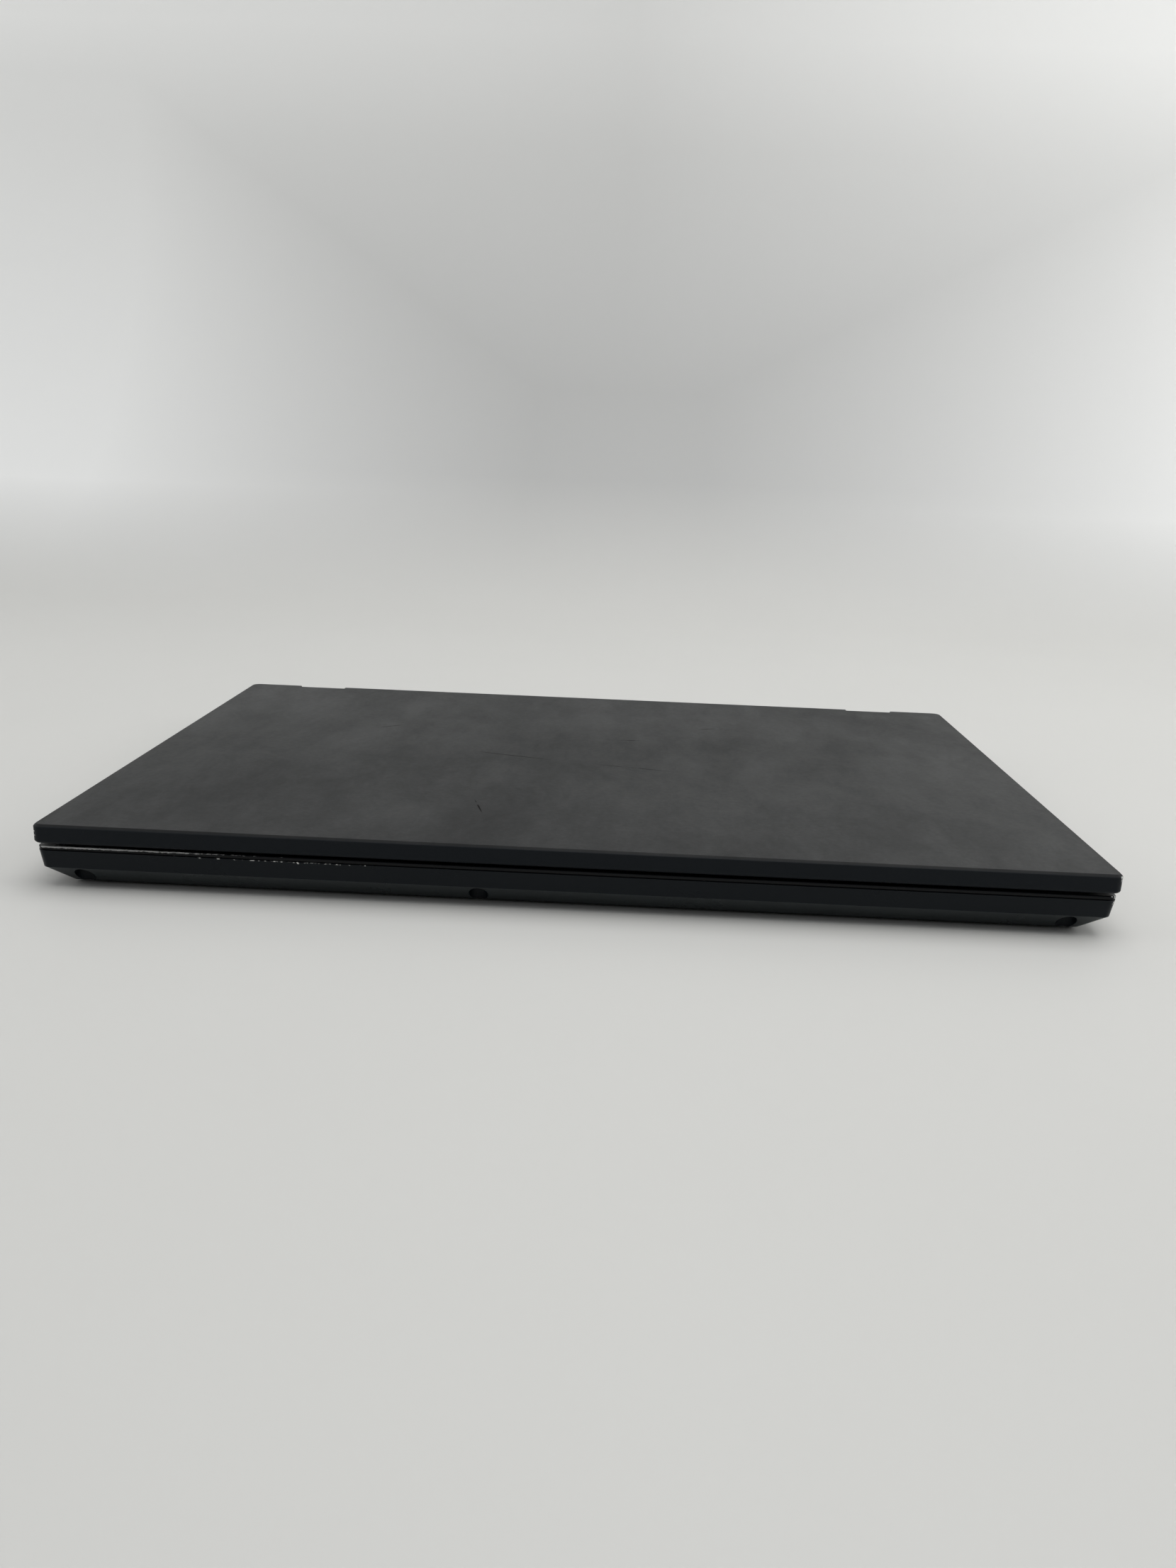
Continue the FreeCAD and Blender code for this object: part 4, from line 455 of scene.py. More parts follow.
# Broad clouds, finger marks and wiped streaks, which together make a film
SMUDGES = (
    {"stretch": (1, 1, 1), "turn": 0.0, "scale": 10, "roughness": 0.62, "distortion": 0.3},
    {"stretch": (1.4, 0.7, 1), "turn": 0.3, "scale": 34, "roughness": 0.72, "distortion": 0.4},
    {"stretch": (2.2, 0.8, 1), "turn": -0.3, "scale": 15, "roughness": 0.68, "distortion": 0.2},
)
SMUDGE_DETAIL = 8.0
FILM_BAND = (1.2, 1.8)
LID_CLEAN = (0.0030, 0.0034, 0.0037)
LID_FILM = (0.0105, 0.0109, 0.0111)
LID_GRAIN = 2400
LID_BUMP = 0.03 * MM
LID_GLOSS = (0.495, 0.425)
SPECKLE_SCALE = 500
SPECKLE = (0.6, 1.4)
SHEEN = (0.032, 0.068)
SHEEN_ROUGHNESS = 0.5
TOP_BAND = (lid_top - 1.2 * MM, lid_top - 0.3 * MM)


def scratch_lines(tree, vector):
    """Thin lines on the lid, with ends that fade."""
    lines = []
    for x, y, half, turn in SCRATCHES:
        angle = math.radians(turn)
        shift = Matrix.Rotation(-angle, 2) @ Vector((x * MM, y * MM))
        inputs = {"Vector": vector, "Location": (-shift.x, -shift.y, 0), "Rotation": (0, 0, -angle)}
        axes = axes_of(tree, add(tree, "ShaderNodeMapping", inputs).outputs["Vector"])
        lines.append(times(tree, near(tree, axes["X"], 0.0, half * MM),
                           near(tree, axes["Y"], 0.0, SCRATCH_WIDTH)))
    broken = remap(tree, noise(tree, vector, 160, detail=3.0), *SCRATCH_BREAKS)
    return times(tree, remap(tree, largest(tree, *lines), *SCRATCH_BAND), broken)


def soft_touch_lid():
    """Soft dark paint with hand smudges, dark scratches, chips at the corners that are also a painted
    highlight on their rounding, and sides in the walls' bluish painted shade.
    """
    material, tree, shader = new_surface("lid_soft_touch")
    vector = place_of(tree)
    clouds = []
    for layer in SMUDGES:
        local = stretched(tree, vector, layer["stretch"], layer["turn"])
        clouds.append(noise(tree, local, layer["scale"], SMUDGE_DETAIL, layer["roughness"],
                            layer["distortion"]))
    film = remap(tree, plus(tree, *clouds), *FILM_BAND)
    scratched = scratch_lines(tree, vector)
    speckle = spread(tree, noise(tree, vector, SPECKLE_SCALE, detail=4.0, roughness=0.7), *SPECKLE)
    on_top = remap(tree, axes_of(tree, vector)["Z"], *TOP_BAND)
    colour = blend_colour(tree, film, LID_CLEAN, LID_FILM)
    # Below the top, the lid's sides take the walls' bluish painted shade
    colour = blend_colour(tree, on_top, WALL_SHADE_DARK, colour)
    colour = blend_colour(tree, scratched, colour, SCRATCH_COLOUR)
    # Chips at the corners, partly a painted highlight on the corner rounding
    colour = blend_colour(tree, chips(tree, vector, LID_CHIPS_AND_HIGHLIGHT), colour, BARE_EDGE)
    sheen = times(tree, fade(tree, film, *SHEEN), fade(tree, scratched, 1.0, 0.0), speckle, on_top)
    set_input(tree, shader, "Base Color", colour)
    set_input(tree, shader, "Roughness", fade(tree, film, *LID_GLOSS))
    set_input(tree, shader, "Sheen Weight", sheen)
    set_input(tree, shader, "Sheen Roughness", SHEEN_ROUGHNESS)
    set_input(tree, shader, "Normal", bump(tree, noise(tree, vector, LID_GRAIN), LID_BUMP))
    set_input(tree, shader, "Specular IOR Level", fade(tree, scratched, PAINT_SPECULAR, SCRATCH_SPECULAR))
    return material


# Sockets

SOCKETS = ("usb_sockets", "hdmi_socket", "display_socket")
TONGUE_HALF = 0.72 * MM
TONGUE_MARGIN = 0.75 * MM
TONGUE_EDGE = 0.02 * MM
CONTACT_PITCH = 1.25 * MM
CONTACT_BAND = (0.62 * CONTACT_PITCH, 0.66 * CONTACT_PITCH)
SHELL_DARK = (0.48, 0.48, 0.49)
SHELL_LIGHT = (0.6, 0.6, 0.61)
SHELL_GRAIN = 700
SHELL_GLOSS = (0.24, 0.4)
TONGUE_COLOUR = (0.012, 0.012, 0.013)
CONTACT_COLOUR = (0.6, 0.45, 0.22)


def plated_sockets():
    """Plated shells whose contact tongues are dark plastic with gilt contacts."""
    material, tree, shader = new_surface("plated_socket")
    vector = place_of(tree)
    fine = noise(tree, vector, SHELL_GRAIN, detail=3.0)
    tongues = []
    for low, high in [box for name in SOCKETS for box in islands(name)]:
        offset = vector_math(tree, "SUBTRACT", vector, (low + high) / 2)["Vector"]
        axes = axes_of(tree, vector_math(tree, "ABSOLUTE", offset)["Vector"])
        half = (high.y - low.y) / 2 - TONGUE_MARGIN
        within_height = remap(tree, axes["Z"], TONGUE_HALF, TONGUE_HALF + TONGUE_EDGE, 1.0, 0.0)
        within_width = remap(tree, axes["Y"], half, half + TONGUE_EDGE, 1.0, 0.0)
        tongues.append(times(tree, within_height, within_width))
    tongue = largest(tree, *tongues)
    along = axes_of(tree, vector)["Y"]
    wave = add(tree, "ShaderNodeMath", {0: along, 1: CONTACT_PITCH}, operation="PINGPONG").outputs["Value"]
    contact = times(tree, tongue, remap(tree, wave, *CONTACT_BAND))
    colour = blend_colour(tree, fine, SHELL_DARK, SHELL_LIGHT)
    colour = blend_colour(tree, tongue, colour, TONGUE_COLOUR)
    colour = blend_colour(tree, contact, colour, CONTACT_COLOUR)
    set_input(tree, shader, "Base Color", colour)
    set_input(tree, shader, "Metallic", plus(tree, fade(tree, tongue, 1.0, 0.0), contact))
    set_input(tree, shader, "Roughness", spread(tree, fine, *SHELL_GLOSS))
    set_input(tree, shader, "Normal", bump(tree, fine, GRAIN_DEPTH))
    return material


# Stage

def stage_surface():
    """Pale paper, with painted shade making it a little darker in the curve, and painted light making the
    backdrop paler, most of all to both sides.
    """
    material, tree, shader = new_surface("pale_floor")
    vector = place_of(tree)
    axes = axes_of(tree, vector)
    lighter = tuple(channel * FLOOR_LIGHTER for channel in FLOOR_COLOUR)
    colour = blend_colour(tree, noise(tree, vector, FLOOR_CLOUD, detail=3.0), FLOOR_COLOUR, lighter)
    # Painted shade in the curve
    colour = blend_colour(tree, remap(tree, axes["Z"], *CURVE_BAND), colour, CURVE_SHADE_COLOUR)
    # Painted light on the backdrop, higher up and to both sides
    sides = largest(tree, remap(tree, axes["X"], *RIGHT_BAND, 0.0, RIGHT_SHARE),
                    remap(tree, axes["X"], *LEFT_BAND, 0.0, LEFT_SHARE))
    outer = largest(tree, remap(tree, axes["X"], 0.0, OUTER_REACH),
                    remap(tree, axes["X"], 0.0, -OUTER_REACH))
    upper = largest(tree, remap(tree, axes["Z"], *UPPER_BAND),
                    times(tree, remap(tree, axes["Z"], *SIDE_RISE), sides))
    backdrop = blend_colour(tree, outer, BACKDROP_LIT_COLOUR, BACKDROP_SIDE_LIT_COLOUR)
    set_input(tree, shader, "Base Color", blend_colour(tree, upper, colour, backdrop))
    set_input(tree, shader, "Roughness", FLOOR_ROUGHNESS)
    set_input(tree, shader, "Specular IOR Level", FLOOR_SPECULAR)
    return material


def make_floor():
    """A floor that curves up into a backdrop."""
    profile = [(FLOOR_FRONT, 0.0), (BACKDROP_START, 0.0)]
    for step in range(1, BACKDROP_STEPS + 1):
        angle = math.pi / 2 * step / BACKDROP_STEPS
        profile.append((BACKDROP_START + BACKDROP_RADIUS * math.sin(angle),
                        BACKDROP_RADIUS * (1 - math.cos(angle))))
    profile.append((BACKDROP_START + BACKDROP_RADIUS, BACKDROP_HEIGHT))
    points = [(side * FLOOR_HALF_WIDTH, y, z) for y, z in profile for side in (-1, 1)]
    faces = [(2 * row, 2 * row + 1, 2 * row + 3, 2 * row + 2) for row in range(len(profile) - 1)]
    mesh = bpy.data.meshes.new("floor")
    mesh.from_pydata(points, [], faces)
    mesh.shade_smooth()
    mesh.materials.append(stage_surface())
    floor = bpy.data.objects.new("floor", mesh)
    bpy.context.scene.collection.objects.link(floor)


def make_light():
    world = bpy.data.worlds.new("studio")
    bpy.context.scene.world = world
    world.use_nodes = True
    tree = world.node_tree
    background = tree.nodes["Background"]
    axes = axes_of(tree, add(tree, "ShaderNodeTexCoord").outputs["Generated"])
    open_side = largest(tree, remap(tree, axes["Z"], *SKY_BAND), remap(tree, axes["Y"], *FRONT_BAND))
    rays = add(tree, "ShaderNodeLightPath").outputs
    seen = largest(tree, rays["Is Camera Ray"], rays["Is Glossy Ray"], rays["Is Transmission Ray"])
    lit = fade(tree, open_side, WORLD_DIM, WORLD_STRENGTH)
    strength = add(tree, "ShaderNodeMix", {"Factor": seen, "A": lit, "B": WORLD_SEEN}).outputs["Result"]
    set_input(tree, background, "Color", (*WORLD_COLOUR, 1.0))
    set_input(tree, background, "Strength", strength)
    for row in LAMPS:
        lamp = bpy.data.lights.new(row["name"], "AREA")
        lamp.shape = "RECTANGLE"
        lamp.size, lamp.size_y = row["size"]
        lamp.energy = row["power"]
        softbox = bpy.data.objects.new(row["name"], lamp)
        softbox.location = row["place"]
        towards = Vector(row["aim"]) - softbox.location
        softbox.rotation_euler = towards.to_track_quat("-Z", "Y").to_euler()
        bpy.context.scene.collection.objects.link(softbox)


def make_camera():
    data = bpy.data.cameras.new("camera")
    data.sensor_width = SENSOR
    data.lens = SENSOR * FOCAL_PIXELS / PHOTO_HEIGHT
    data.clip_start = NEAREST
    camera = bpy.data.objects.new("camera", data)
    turn = Matrix.Rotation(CAMERA_TURN, 4, "Z")
    drop = Matrix.Rotation(math.pi / 2 - CAMERA_DROP, 4, "X")
    roll = Matrix.Rotation(CAMERA_ROLL, 4, "Z")
    camera.matrix_world = Matrix.Translation(CAMERA_PLACE) @ turn @ drop @ roll
    bpy.context.scene.collection.objects.link(camera)
    bpy.context.scene.camera = camera


# Finer pieces

SAME_POINT = 0.001 * MM
CORNER_STEPS = 5
LATHE_STEPS = 40


def add_piece(name, points, faces, material, body, finish, *stands_for, is_smooth=True):
    """A mesh that rides on a body and may stand for nodes; the finish is not used."""
    mesh = bpy.data.meshes.new(name)
    mesh.from_pydata(points, [], faces)
    mesh.validate()
    if is_smooth:
        mesh.shade_smooth()
    mesh.materials.append(material)
    piece = bpy.data.objects.new(name, mesh)
    bpy.context.scene.collection.objects.link(piece)
    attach(piece, body)
    if stands_for:
        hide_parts(*stands_for)
    return piece


def solid_of(name):
    """A working mesh of a node's solids, with shared corners."""
    shape = bmesh.new()
    shape.from_mesh(nodes[name].data)
    bmesh.ops.remove_doubles(shape, verts=shape.verts, dist=SAME_POINT)
    return shape


def taken_from(shape):
    """Points and faces of a working mesh, which is freed."""
    shape.verts.index_update()
    points = [vertex.co.copy() for vertex in shape.verts]
    faces = [tuple(vertex.index for vertex in face.verts) for face in shape.faces]
    shape.free()
    return points, faces


def islands(name):
    """Lowest and highest corner of each separate solid of a node, from the rear left to the front right."""
    shape = solid_of(name)
    left = set(shape.verts)
    boxes = []
    while left:
        reached = [left.pop()]
        island = []
        while reached:
            vertex = reached.pop()
            island.append(vertex.co.copy())
            fresh = {edge.other_vert(vertex) for edge in vertex.link_edges} & left
            left -= fresh
            reached += fresh
        boxes.append(tuple(Vector(pick(point[axis] for point in island) for axis in range(3))
                           for pick in (min, max)))
    shape.free()
    return sorted(boxes, key=lambda box: (-round(box[1].y / MM), box[0].x))


def rounded_ring(low, high, radius, step=None):
    """Points round a rectangle with rounded corners, with more along its sides where a step is given."""
    centres = ((high.x - radius, high.y - radius), (low.x + radius, high.y - radius),
               (low.x + radius, low.y + radius), (high.x - radius, low.y + radius))
    ring = []
    for quarter, (x, y) in enumerate(centres):
        for part in range(CORNER_STEPS + 1):
            angle = (quarter + part / CORNER_STEPS) * math.pi / 2
            ring.append(Vector((x + radius * math.cos(angle), y + radius * math.sin(angle))))
    if not step:
        return ring
    dense = []
    for index, start in enumerate(ring):
        end = ring[(index + 1) % len(ring)]
        count = max(1, round((end - start).length / step))
        dense += [start.lerp(end, part / count) for part in range(count)]
    return dense


def skin(rings):
    """Points and faces of rings of equal count, closed below and by a fan to the middle above."""
    count = len(rings[0])
    points = [point for ring in rings for point in ring]
    faces = []
    for row in range(len(rings) - 1):
        for index in range(count):
            after = (index + 1) % count
            faces.append((row * count + index, row * count + after, (row + 1) * count + after,
                          (row + 1) * count + index))
    faces.append(tuple(reversed(range(count))))
    points.append(sum((Vector(point) for point in rings[-1]), Vector((0, 0, 0))) / count)
    last = (len(rings) - 1) * count
    faces += [(last + index, last + (index + 1) % count, len(points) - 1) for index in range(count)]
    return points, faces


def joined(shapes):
    points = []
    faces = []
    for more_points, more_faces in shapes:
        start = len(points)
        points += [tuple(point) for point in more_points]
        faces += [tuple(start + index for index in face) for face in more_faces]
    return points, faces


def lathe(centre, profile):
    """A turned piece from the radius and level of each ring, from below to above."""
    rings = []
    for radius, z in profile:
        turns = (2 * math.pi * step / LATHE_STEPS for step in range(LATHE_STEPS))
        rings.append([(centre.x + radius * math.cos(turn), centre.y + radius * math.sin(turn), z)
                      for turn in turns])
    return skin(rings)


# Casings

SOFT_ANGLE = math.radians(24)
SMOOTH_COSINE = math.cos(math.radians(40))
FLAT_ANGLE = math.radians(0.4)
SOFT_STEPS = 3
ROUND_PROFILE = 0.5
OUTER_ROUNDING = 0.3 * MM
INNER_ROUNDING = 0.2 * MM


def keep_flats(mesh):
    """Normals weighted by area: large flats stay flat, and the narrow bands between them shade round."""
    around = [[] for _ in mesh.vertices]
    for polygon in mesh.polygons:
        for index in polygon.vertices:
            around[index].append((polygon.normal.copy(), polygon.area))
    normals = []
    for polygon in mesh.polygons:
        for index in polygon.vertices:
            parts = [normal * area for normal, area in around[index]
                     if normal.dot(polygon.normal) > SMOOTH_COSINE]
            normals.append(sum(parts, Vector()).normalized())
    mesh.normals_split_custom_set(normals)


def soften(name, width, material, body, finish):
    """A copy of a casing with its edges rounded off, in place of its solid."""
    shape = solid_of(name)
    bmesh.ops.dissolve_limit(shape, angle_limit=FLAT_ANGLE, verts=shape.verts, edges=shape.edges)
    edges = [edge for edge in shape.edges
             if len(edge.link_faces) == 2 and edge.calc_face_angle_signed() > SOFT_ANGLE]
    bmesh.ops.bevel(shape, geom=edges, offset=width, offset_type="OFFSET", segments=SOFT_STEPS,
                    profile=ROUND_PROFILE, affect="EDGES", clamp_overlap=True)
    piece = add_piece(f"{name}_soft", *taken_from(shape), material, body, finish, name)
    keep_flats(piece.data)


# Keyboard

KEY_CORNER = 1.3 * MM
KEY_DISH = 0.22 * MM
# Inset and drop of the rings over a cap's rim, in millimetres, and where the rings of its dish lie
KEY_CROWN = ((0.0, 0.62), (0.06, 0.36), (0.22, 0.12), (0.46, 0.02), (0.7, 0.0))
DISH_RINGS = (0.25, 0.5, 0.75)
BUTTON_DISH = -0.12 * MM
STICK_ROOM = 3.8 * MM
DENSE_STEP = 0.4 * MM
WORD = 2.1 * MM
LETTER = 3.7 * MM
CURVE_PARTS = 2
CAPITAL_HEIGHT = 0.7
LINE_HEIGHT = 0.75
SHALLOW_KEY = 12 * MM
LEGEND_LIFT = 0.015 * MM
INK_DEPTH = 0.07 * MM
LEGEND_SIDE = 2.7 * MM
LEGEND_TOP = 2.3 * MM
KEY_ROWS = {
    "keys_function_row": "Esc F1 F2 F3 F4 F5 F6 F7 F8 F9 F10 F11 F12 Home End Del Ins PrtSc PgUp PgDn",
    "keys_number_row": "` 1 2 3 4 5 6 7 8 9 0 - = Back Num / * -",
    "keys_upper_row": "Tab Q W E R T Y U I O P [ ] \\ 7 8 9 +",
    "keys_home_row": "Caps A S D F G H J K L ; ' Enter 4 5 6",
    "keys_lower_row": "Shift Z X C V B N M , . / Shift 1 2 3 Enter",
    "keys_space_row": "Fn Ctrl blank Alt Alt Menu Ctrl PgUp up PgDn 0 . left down right",
}
ARROWS = {"up": 90, "left": 180, "down": 270, "right": 0}
ARROW_CORNERS = ((0.5, 0.0), (-0.35, 0.42), (-0.35, -0.42))


def cap_drop(low, high, x, y, dish):
    """How far the top of a cap lies below its rim at one place."""
    across = (2 * x - low.x - high.x) / (high.x - low.x)
    along = (2 * y - low.y - high.y) / (high.y - low.y)
    return dish * max(0.0, 1 - max(abs(across), abs(along)) ** 2)


def cap(low, high, radius, dish, stick=None):
    """A cap with straight sides, a rounded rim and a dished top, cut back round the pointing stick."""
    middle = ((low + high) / 2).to_2d()
    half = ((high - low) / 2).to_2d()
    is_near = stick is not None and all(low[axis] - STICK_ROOM < stick[axis] < high[axis] + STICK_ROOM
                                        for axis in range(2))
    outline = rounded_ring(low, high, radius, DENSE_STEP if is_near else None)

    def ring(inset, z, room):
        scale = Vector(((half.x - inset) / half.x, (half.y - inset) / half.y))
        points = []
        for point in outline:
            place = middle + (point - middle) * scale
            if is_near and (place - stick).length < STICK_ROOM + room:
                place = stick + (place - stick).normalized() * (STICK_ROOM + room)
            level = high.z - cap_drop(low, high, place.x, place.y, dish) if z is None else z
            points.append((place.x, place.y, level))
        return points

    rings = [ring(0.0, low.z, 0.0)]
    rings += [ring(inset * MM, high.z - drop * MM, inset * MM) for inset, drop in KEY_CROWN]
    rim = KEY_CROWN[-1][0] * MM
    for share in DISH_RINGS:
        inset = rim + share * (min(half) - rim)
        rings.append(ring(inset, None, inset))
    return skin(rings)


def inked(points, faces):
    """A flat shape made into a thin solid that reaches down into what it lies on."""
    count = len(points)
    lower = [(x, y, z - INK_DEPTH) for x, y, z in points]
    edges = [(face[index - 1], face[index]) for face in faces for index in range(len(face))]
    paired = set(edges)
    sides = [(end, start, start + count, end + count) for start, end in edges
             if (end, start) not in paired]
    below = [tuple(count + index for index in reversed(face)) for face in faces]
    return points + lower, faces + sides + below


def word_shape(text, size):
    """Points and faces of a flat word, with its lower left corner at the origin."""
    curve = bpy.data.curves.new("word", "FONT")
    curve.body = text
    curve.size = size
    curve.resolution_u = CURVE_PARTS
    holder = bpy.data.objects.new("word", curve)
    bpy.context.scene.collection.objects.link(holder)
    depsgraph = bpy.context.evaluated_depsgraph_get()
    mesh = bpy.data.meshes.new_from_object(holder.evaluated_get(depsgraph))
    shape = bmesh.new()
    shape.from_mesh(mesh)
    points, faces = taken_from(shape)
    bpy.data.objects.remove(holder)
    bpy.data.curves.remove(curve)
    bpy.data.meshes.remove(mesh)
    left = min(point.x for point in points)
    return [Vector((point.x - left, point.y)) for point in points], faces


def arrow_shape(angle, size):
    turn = Matrix.Rotation(math.radians(angle), 2)
    return [turn @ Vector(corner) * size for corner in ARROW_CORNERS], [(0, 1, 2)]


def legend(text, low, high):
    """A legend laid on the top of one cap."""
    if text in ARROWS:
        points, faces = arrow_shape(ARROWS[text], WORD)
        shift = ((low + high) / 2).to_2d()
    else:
        size = LETTER if len(text) == 1 else WORD
        points, faces = word_shape(text, size)
        if high.y - low.y < SHALLOW_KEY:
            base = (low.y + high.y - CAPITAL_HEIGHT * size) / 2
        else:
            base = high.y - LEGEND_TOP - LINE_HEIGHT * size
        shift = Vector((low.x + LEGEND_SIDE, base))
    laid = []
    for x, y in [point + shift for point in points]:
        laid.append((x, y, high.z - cap_drop(low, high, x, y, KEY_DISH) + LEGEND_LIFT))
    return inked(laid, faces)


def make_keyboard(plastic, ink):
    low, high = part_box("pointing_stick")
    stick = ((low + high) / 2).to_2d()
    for row, words in KEY_ROWS.items():
        caps = islands(row)
        shapes = [cap(*box, KEY_CORNER, KEY_DISH, stick) for box in caps]
        add_piece(f"{row}_caps", *joined(shapes), plastic, row, "key_plastic", row)
        legends = [legend(word, *box) for word, box in zip(words.split(), caps) if word != "blank"]
        add_piece(f"{row}_legends", *joined(legends), ink, row, "key_plastic", is_smooth=False)
    bar = cap(*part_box("space_bar"), KEY_CORNER, -KEY_DISH / 2)
    add_piece("space_bar_cap", *bar, plastic, "space_bar", "key_plastic", "space_bar")
    for side in ("left", "middle", "right"):
        name = f"pointer_button_{side}"
        button = cap(*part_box(name), KEY_CORNER / 2, BUTTON_DISH)
        add_piece(f"{name}_cap", *button, plastic, name, "key_plastic", name)


# Small fittings

# Inset and drop of the rings of a foot, in millimetres
FOOT_EDGE = ((1.0, 1.3), (0.62, 1.22), (0.24, 0.96), (0.06, 0.6), (0.0, 0.25), (0.0, 0.0))
FOOT_END = 0.98
# Share of the radius and share of the height of a bumper's rings
BUMPER_DOME = ((0.35, 0.0), (0.7, 0.06), (0.9, 0.25), (1.0, 0.6), (1.0, 1.0))
# Share of the radius, and drop below the top in millimetres
STICK_CAP = ((0.8, 2.6), (0.97, 2.35), (1.0, 1.8), (1.0, 1.0), (0.95, 0.45), (0.84, 0.12), (0.7, 0.0),
             (0.5, 0.08), (0.25, 0.2))
STICK_STEM = 1.4 * MM
POWER_CAP = ((1.0, 0.35), (0.97, 0.1), (0.91, 0.0), (0.84, 0.04), (0.55, 0.12), (0.28, 0.15))
# The power sign: a ring open at the top, and a line through the opening
SIGN_DROP = 0.1 * MM
SIGN_RADII = (1.45 * MM, 1.8 * MM)
SIGN_START = math.radians(128)
SIGN_SWEEP = math.radians(284)
SIGN_STEPS = 30
SIGN_LINE = ((-0.18, 0.5), (0.18, 0.5), (0.18, 2.0), (-0.18, 2.0))
CROSS_ARM = 0.32 * MM
CROSS_REACH = 1.25 * MM
CROSS_DEPTH = 0.75 * MM
CROSS_TAPER = 0.7
# Share of the radius, and height above the face of a screw's head in millimetres
HEAD_EDGE = ((0.84, 0.0), (0.96, 0.14), (1.0, 0.4), (1.0, 1.4))
SHANK_RADIUS = 1.25 * MM
SCREW_STEPS = 28


def make_stick(rubber):
    """A pointing stick with a rounded, dished cap on a stem."""
    low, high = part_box("pointing_stick")
    radius = (high.x - low.x) / 2
    crown = [(share * radius, high.z - drop * MM) for share, drop in STICK_CAP]
    profile = [(STICK_STEM, low.z), (STICK_STEM, crown[0][1])] + crown
    add_piece("pointing_stick_cap", *lathe((low + high) / 2, profile), rubber, "base", "rubber",
              "pointing_stick")


def make_feet(rubber):
    """Rubber feet with round ends and a rounded edge at the table."""
    shapes = []
    for low, high in islands("feet"):
        outline = rounded_ring(low, high, FOOT_END * (high.y - low.y) / 2)
        middle = ((low + high) / 2).to_2d()
        half = ((high - low) / 2).to_2d()
        rings = []
        for inset, drop in FOOT_EDGE:
            scale = Vector(((half.x - inset * MM) / half.x, (half.y - inset * MM) / half.y))
            shrunk = [middle + (point - middle) * scale for point in outline]
            rings.append([(point.x, point.y, high.z - drop * MM) for point in shrunk])
        shapes.append(skin(rings))
    add_piece("rubber_feet", *joined(shapes), rubber, "base", "rubber", "feet")


def make_bumpers(rubber):
    """Round bumpers with a domed face towards the deck."""
    shapes = []
    for low, high in islands("lid_bumpers"):
        radius = (high.x - low.x) / 2
        profile = [(share * radius, low.z + rise * (high.z - low.z)) for share, rise in BUMPER_DOME]
        shapes.append(lathe((low + high) / 2, profile))
    add_piece("lid_bumper_set", *joined(shapes), rubber, "lid", "rubber", "lid_bumpers")


def cross_outline(scale):
    """The twelve corners of a cross recess."""
    arm = CROSS_ARM * scale
    reach = CROSS_REACH * scale
    quarter = ((reach, -arm), (reach, arm), (arm, arm))
    turns = [Matrix.Rotation(step * math.pi / 2, 2) for step in range(4)]
    return [turn @ Vector(corner) for turn in turns for corner in quarter]


def screw(low, high):
    """A screw whose head faces down, with a cross recess."""
    middle = (low + high) / 2
    radius = (high.x - low.x) / 2
    shape = bmesh.new()

    def loop(outline, z):
        return [shape.verts.new((middle.x + point.x, middle.y + point.y, z)) for point in outline]

    def circle(size, z):
        turns = [2 * math.pi * step / SCREW_STEPS for step in range(SCREW_STEPS)]
        return loop([Vector((size * math.cos(turn), size * math.sin(turn))) for turn in turns], z)

    def close(ring):
        return [shape.edges.get(pair) or shape.edges.new(pair) for pair in zip(ring, ring[1:] + ring[:1])]

    def band(first, second):
        for index, vertex in enumerate(first):
            after = (index + 1) % len(first)
            shape.faces.new((vertex, first[after], second[after], second[index]))

    head = [(share * radius, low.z + rise * MM) for share, rise in HEAD_EDGE]
    shank = [(SHANK_RADIUS, head[-1][1]), (SHANK_RADIUS, high.z)]
    rings = [circle(size, z) for size, z in head + shank]
    mouth = loop(cross_outline(1.0), low.z)
    floor = loop(cross_outline(CROSS_TAPER), low.z + CROSS_DEPTH)
    for first, second in zip(rings, rings[1:]):
        band(first, second)
    band(mouth, floor)
    shape.faces.new(floor)
    shape.faces.new(rings[-1])
    bmesh.ops.triangle_fill(shape, edges=close(rings[0]) + close(mouth))
    bmesh.ops.recalc_face_normals(shape, faces=shape.faces)
    return taken_from(shape)


def make_screws(steel):
    shapes = [screw(*box) for box in islands("bottom_screws")]
    add_piece("screw_set", *joined(shapes), steel, "base", "steel", "bottom_screws", is_smooth=False)


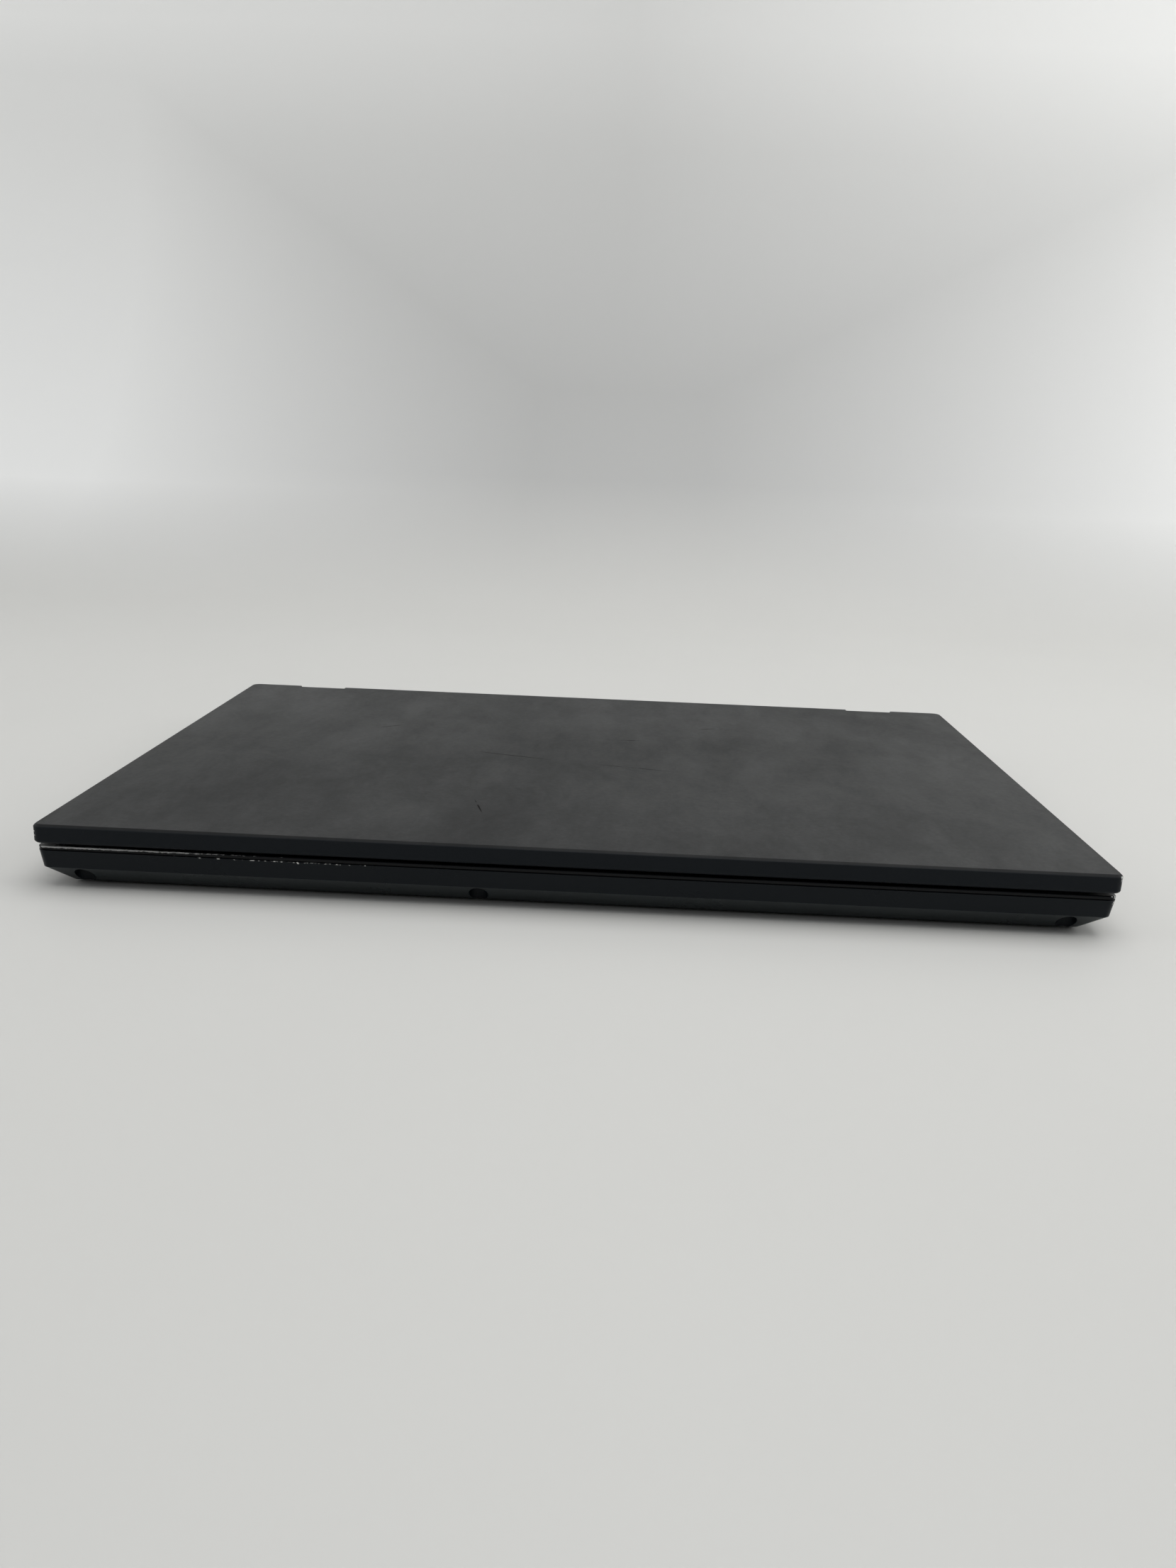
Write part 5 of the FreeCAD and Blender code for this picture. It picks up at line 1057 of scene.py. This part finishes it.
def make_power_button(plastic, ink):
    """A round button with a shallow dish, and the usual sign of a broken ring and a line."""
    low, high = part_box("power_button")
    middle = (low + high) / 2
    radius = (high.x - low.x) / 2
    profile = [(radius, low.z)] + [(share * radius, high.z - drop * MM) for share, drop in POWER_CAP]
    add_piece("power_button_cap", *lathe(middle, profile), plastic, "power_button", "key_plastic",
              "power_button")
    level = high.z - SIGN_DROP
    points = []
    for step in range(SIGN_STEPS + 1):
        turn = SIGN_START + SIGN_SWEEP * step / SIGN_STEPS
        points += [(middle.x + reach * math.cos(turn), middle.y + reach * math.sin(turn), level)
                   for reach in SIGN_RADII]
    faces = [(2 * step, 2 * step + 1, 2 * step + 3, 2 * step + 2) for step in range(SIGN_STEPS)]
    start = len(points)
    points += [(middle.x + x * MM, middle.y + y * MM, level) for x, y in SIGN_LINE]
    faces.append((start, start + 1, start + 2, start + 3))
    add_piece("power_sign", *inked(points, faces), ink, "power_button", "key_plastic", is_smooth=False)


# Finish of every piece

def dress(material, names):
    for name in names:
        nodes[name].data.materials.clear()
        nodes[name].data.materials.append(material)


def make_casings():
    soften("lid_cover", OUTER_ROUNDING, soft_touch_lid(), "lid", "lid_finish")
    soften("palm_rest", INNER_ROUNDING, painted("palm_rest_paint", rim_wear), "base", "case_plastic")
    soften("bottom_cover", OUTER_ROUNDING, painted("cover_paint", cover_wear, True), "base", "case_plastic")
    soften("display_bezel", INNER_ROUNDING, painted("bezel_paint", bezel_marks), "lid", "case_plastic")


def make_fittings():
    surfaces = {name: plain_surface(name, **values) for name, values in SURFACES.items()}
    make_keyboard(surfaces["key_plastic"], surfaces["legend_ink"])
    make_power_button(surfaces["key_plastic"], surfaces["legend_ink"])
    make_screws(surfaces["black_steel"])
    make_feet(surfaces["rubber"])
    make_bumpers(surfaces["rubber"])
    make_stick(surfaces["rubber"])
    dress(plated_sockets(), SOCKETS)
    for name, pieces in DRESSED.items():
        dress(surfaces[name], pieces)


bpy.context.scene.view_settings.view_transform = "Standard"
make_casings()
make_fittings()
make_floor()
make_light()
make_camera()
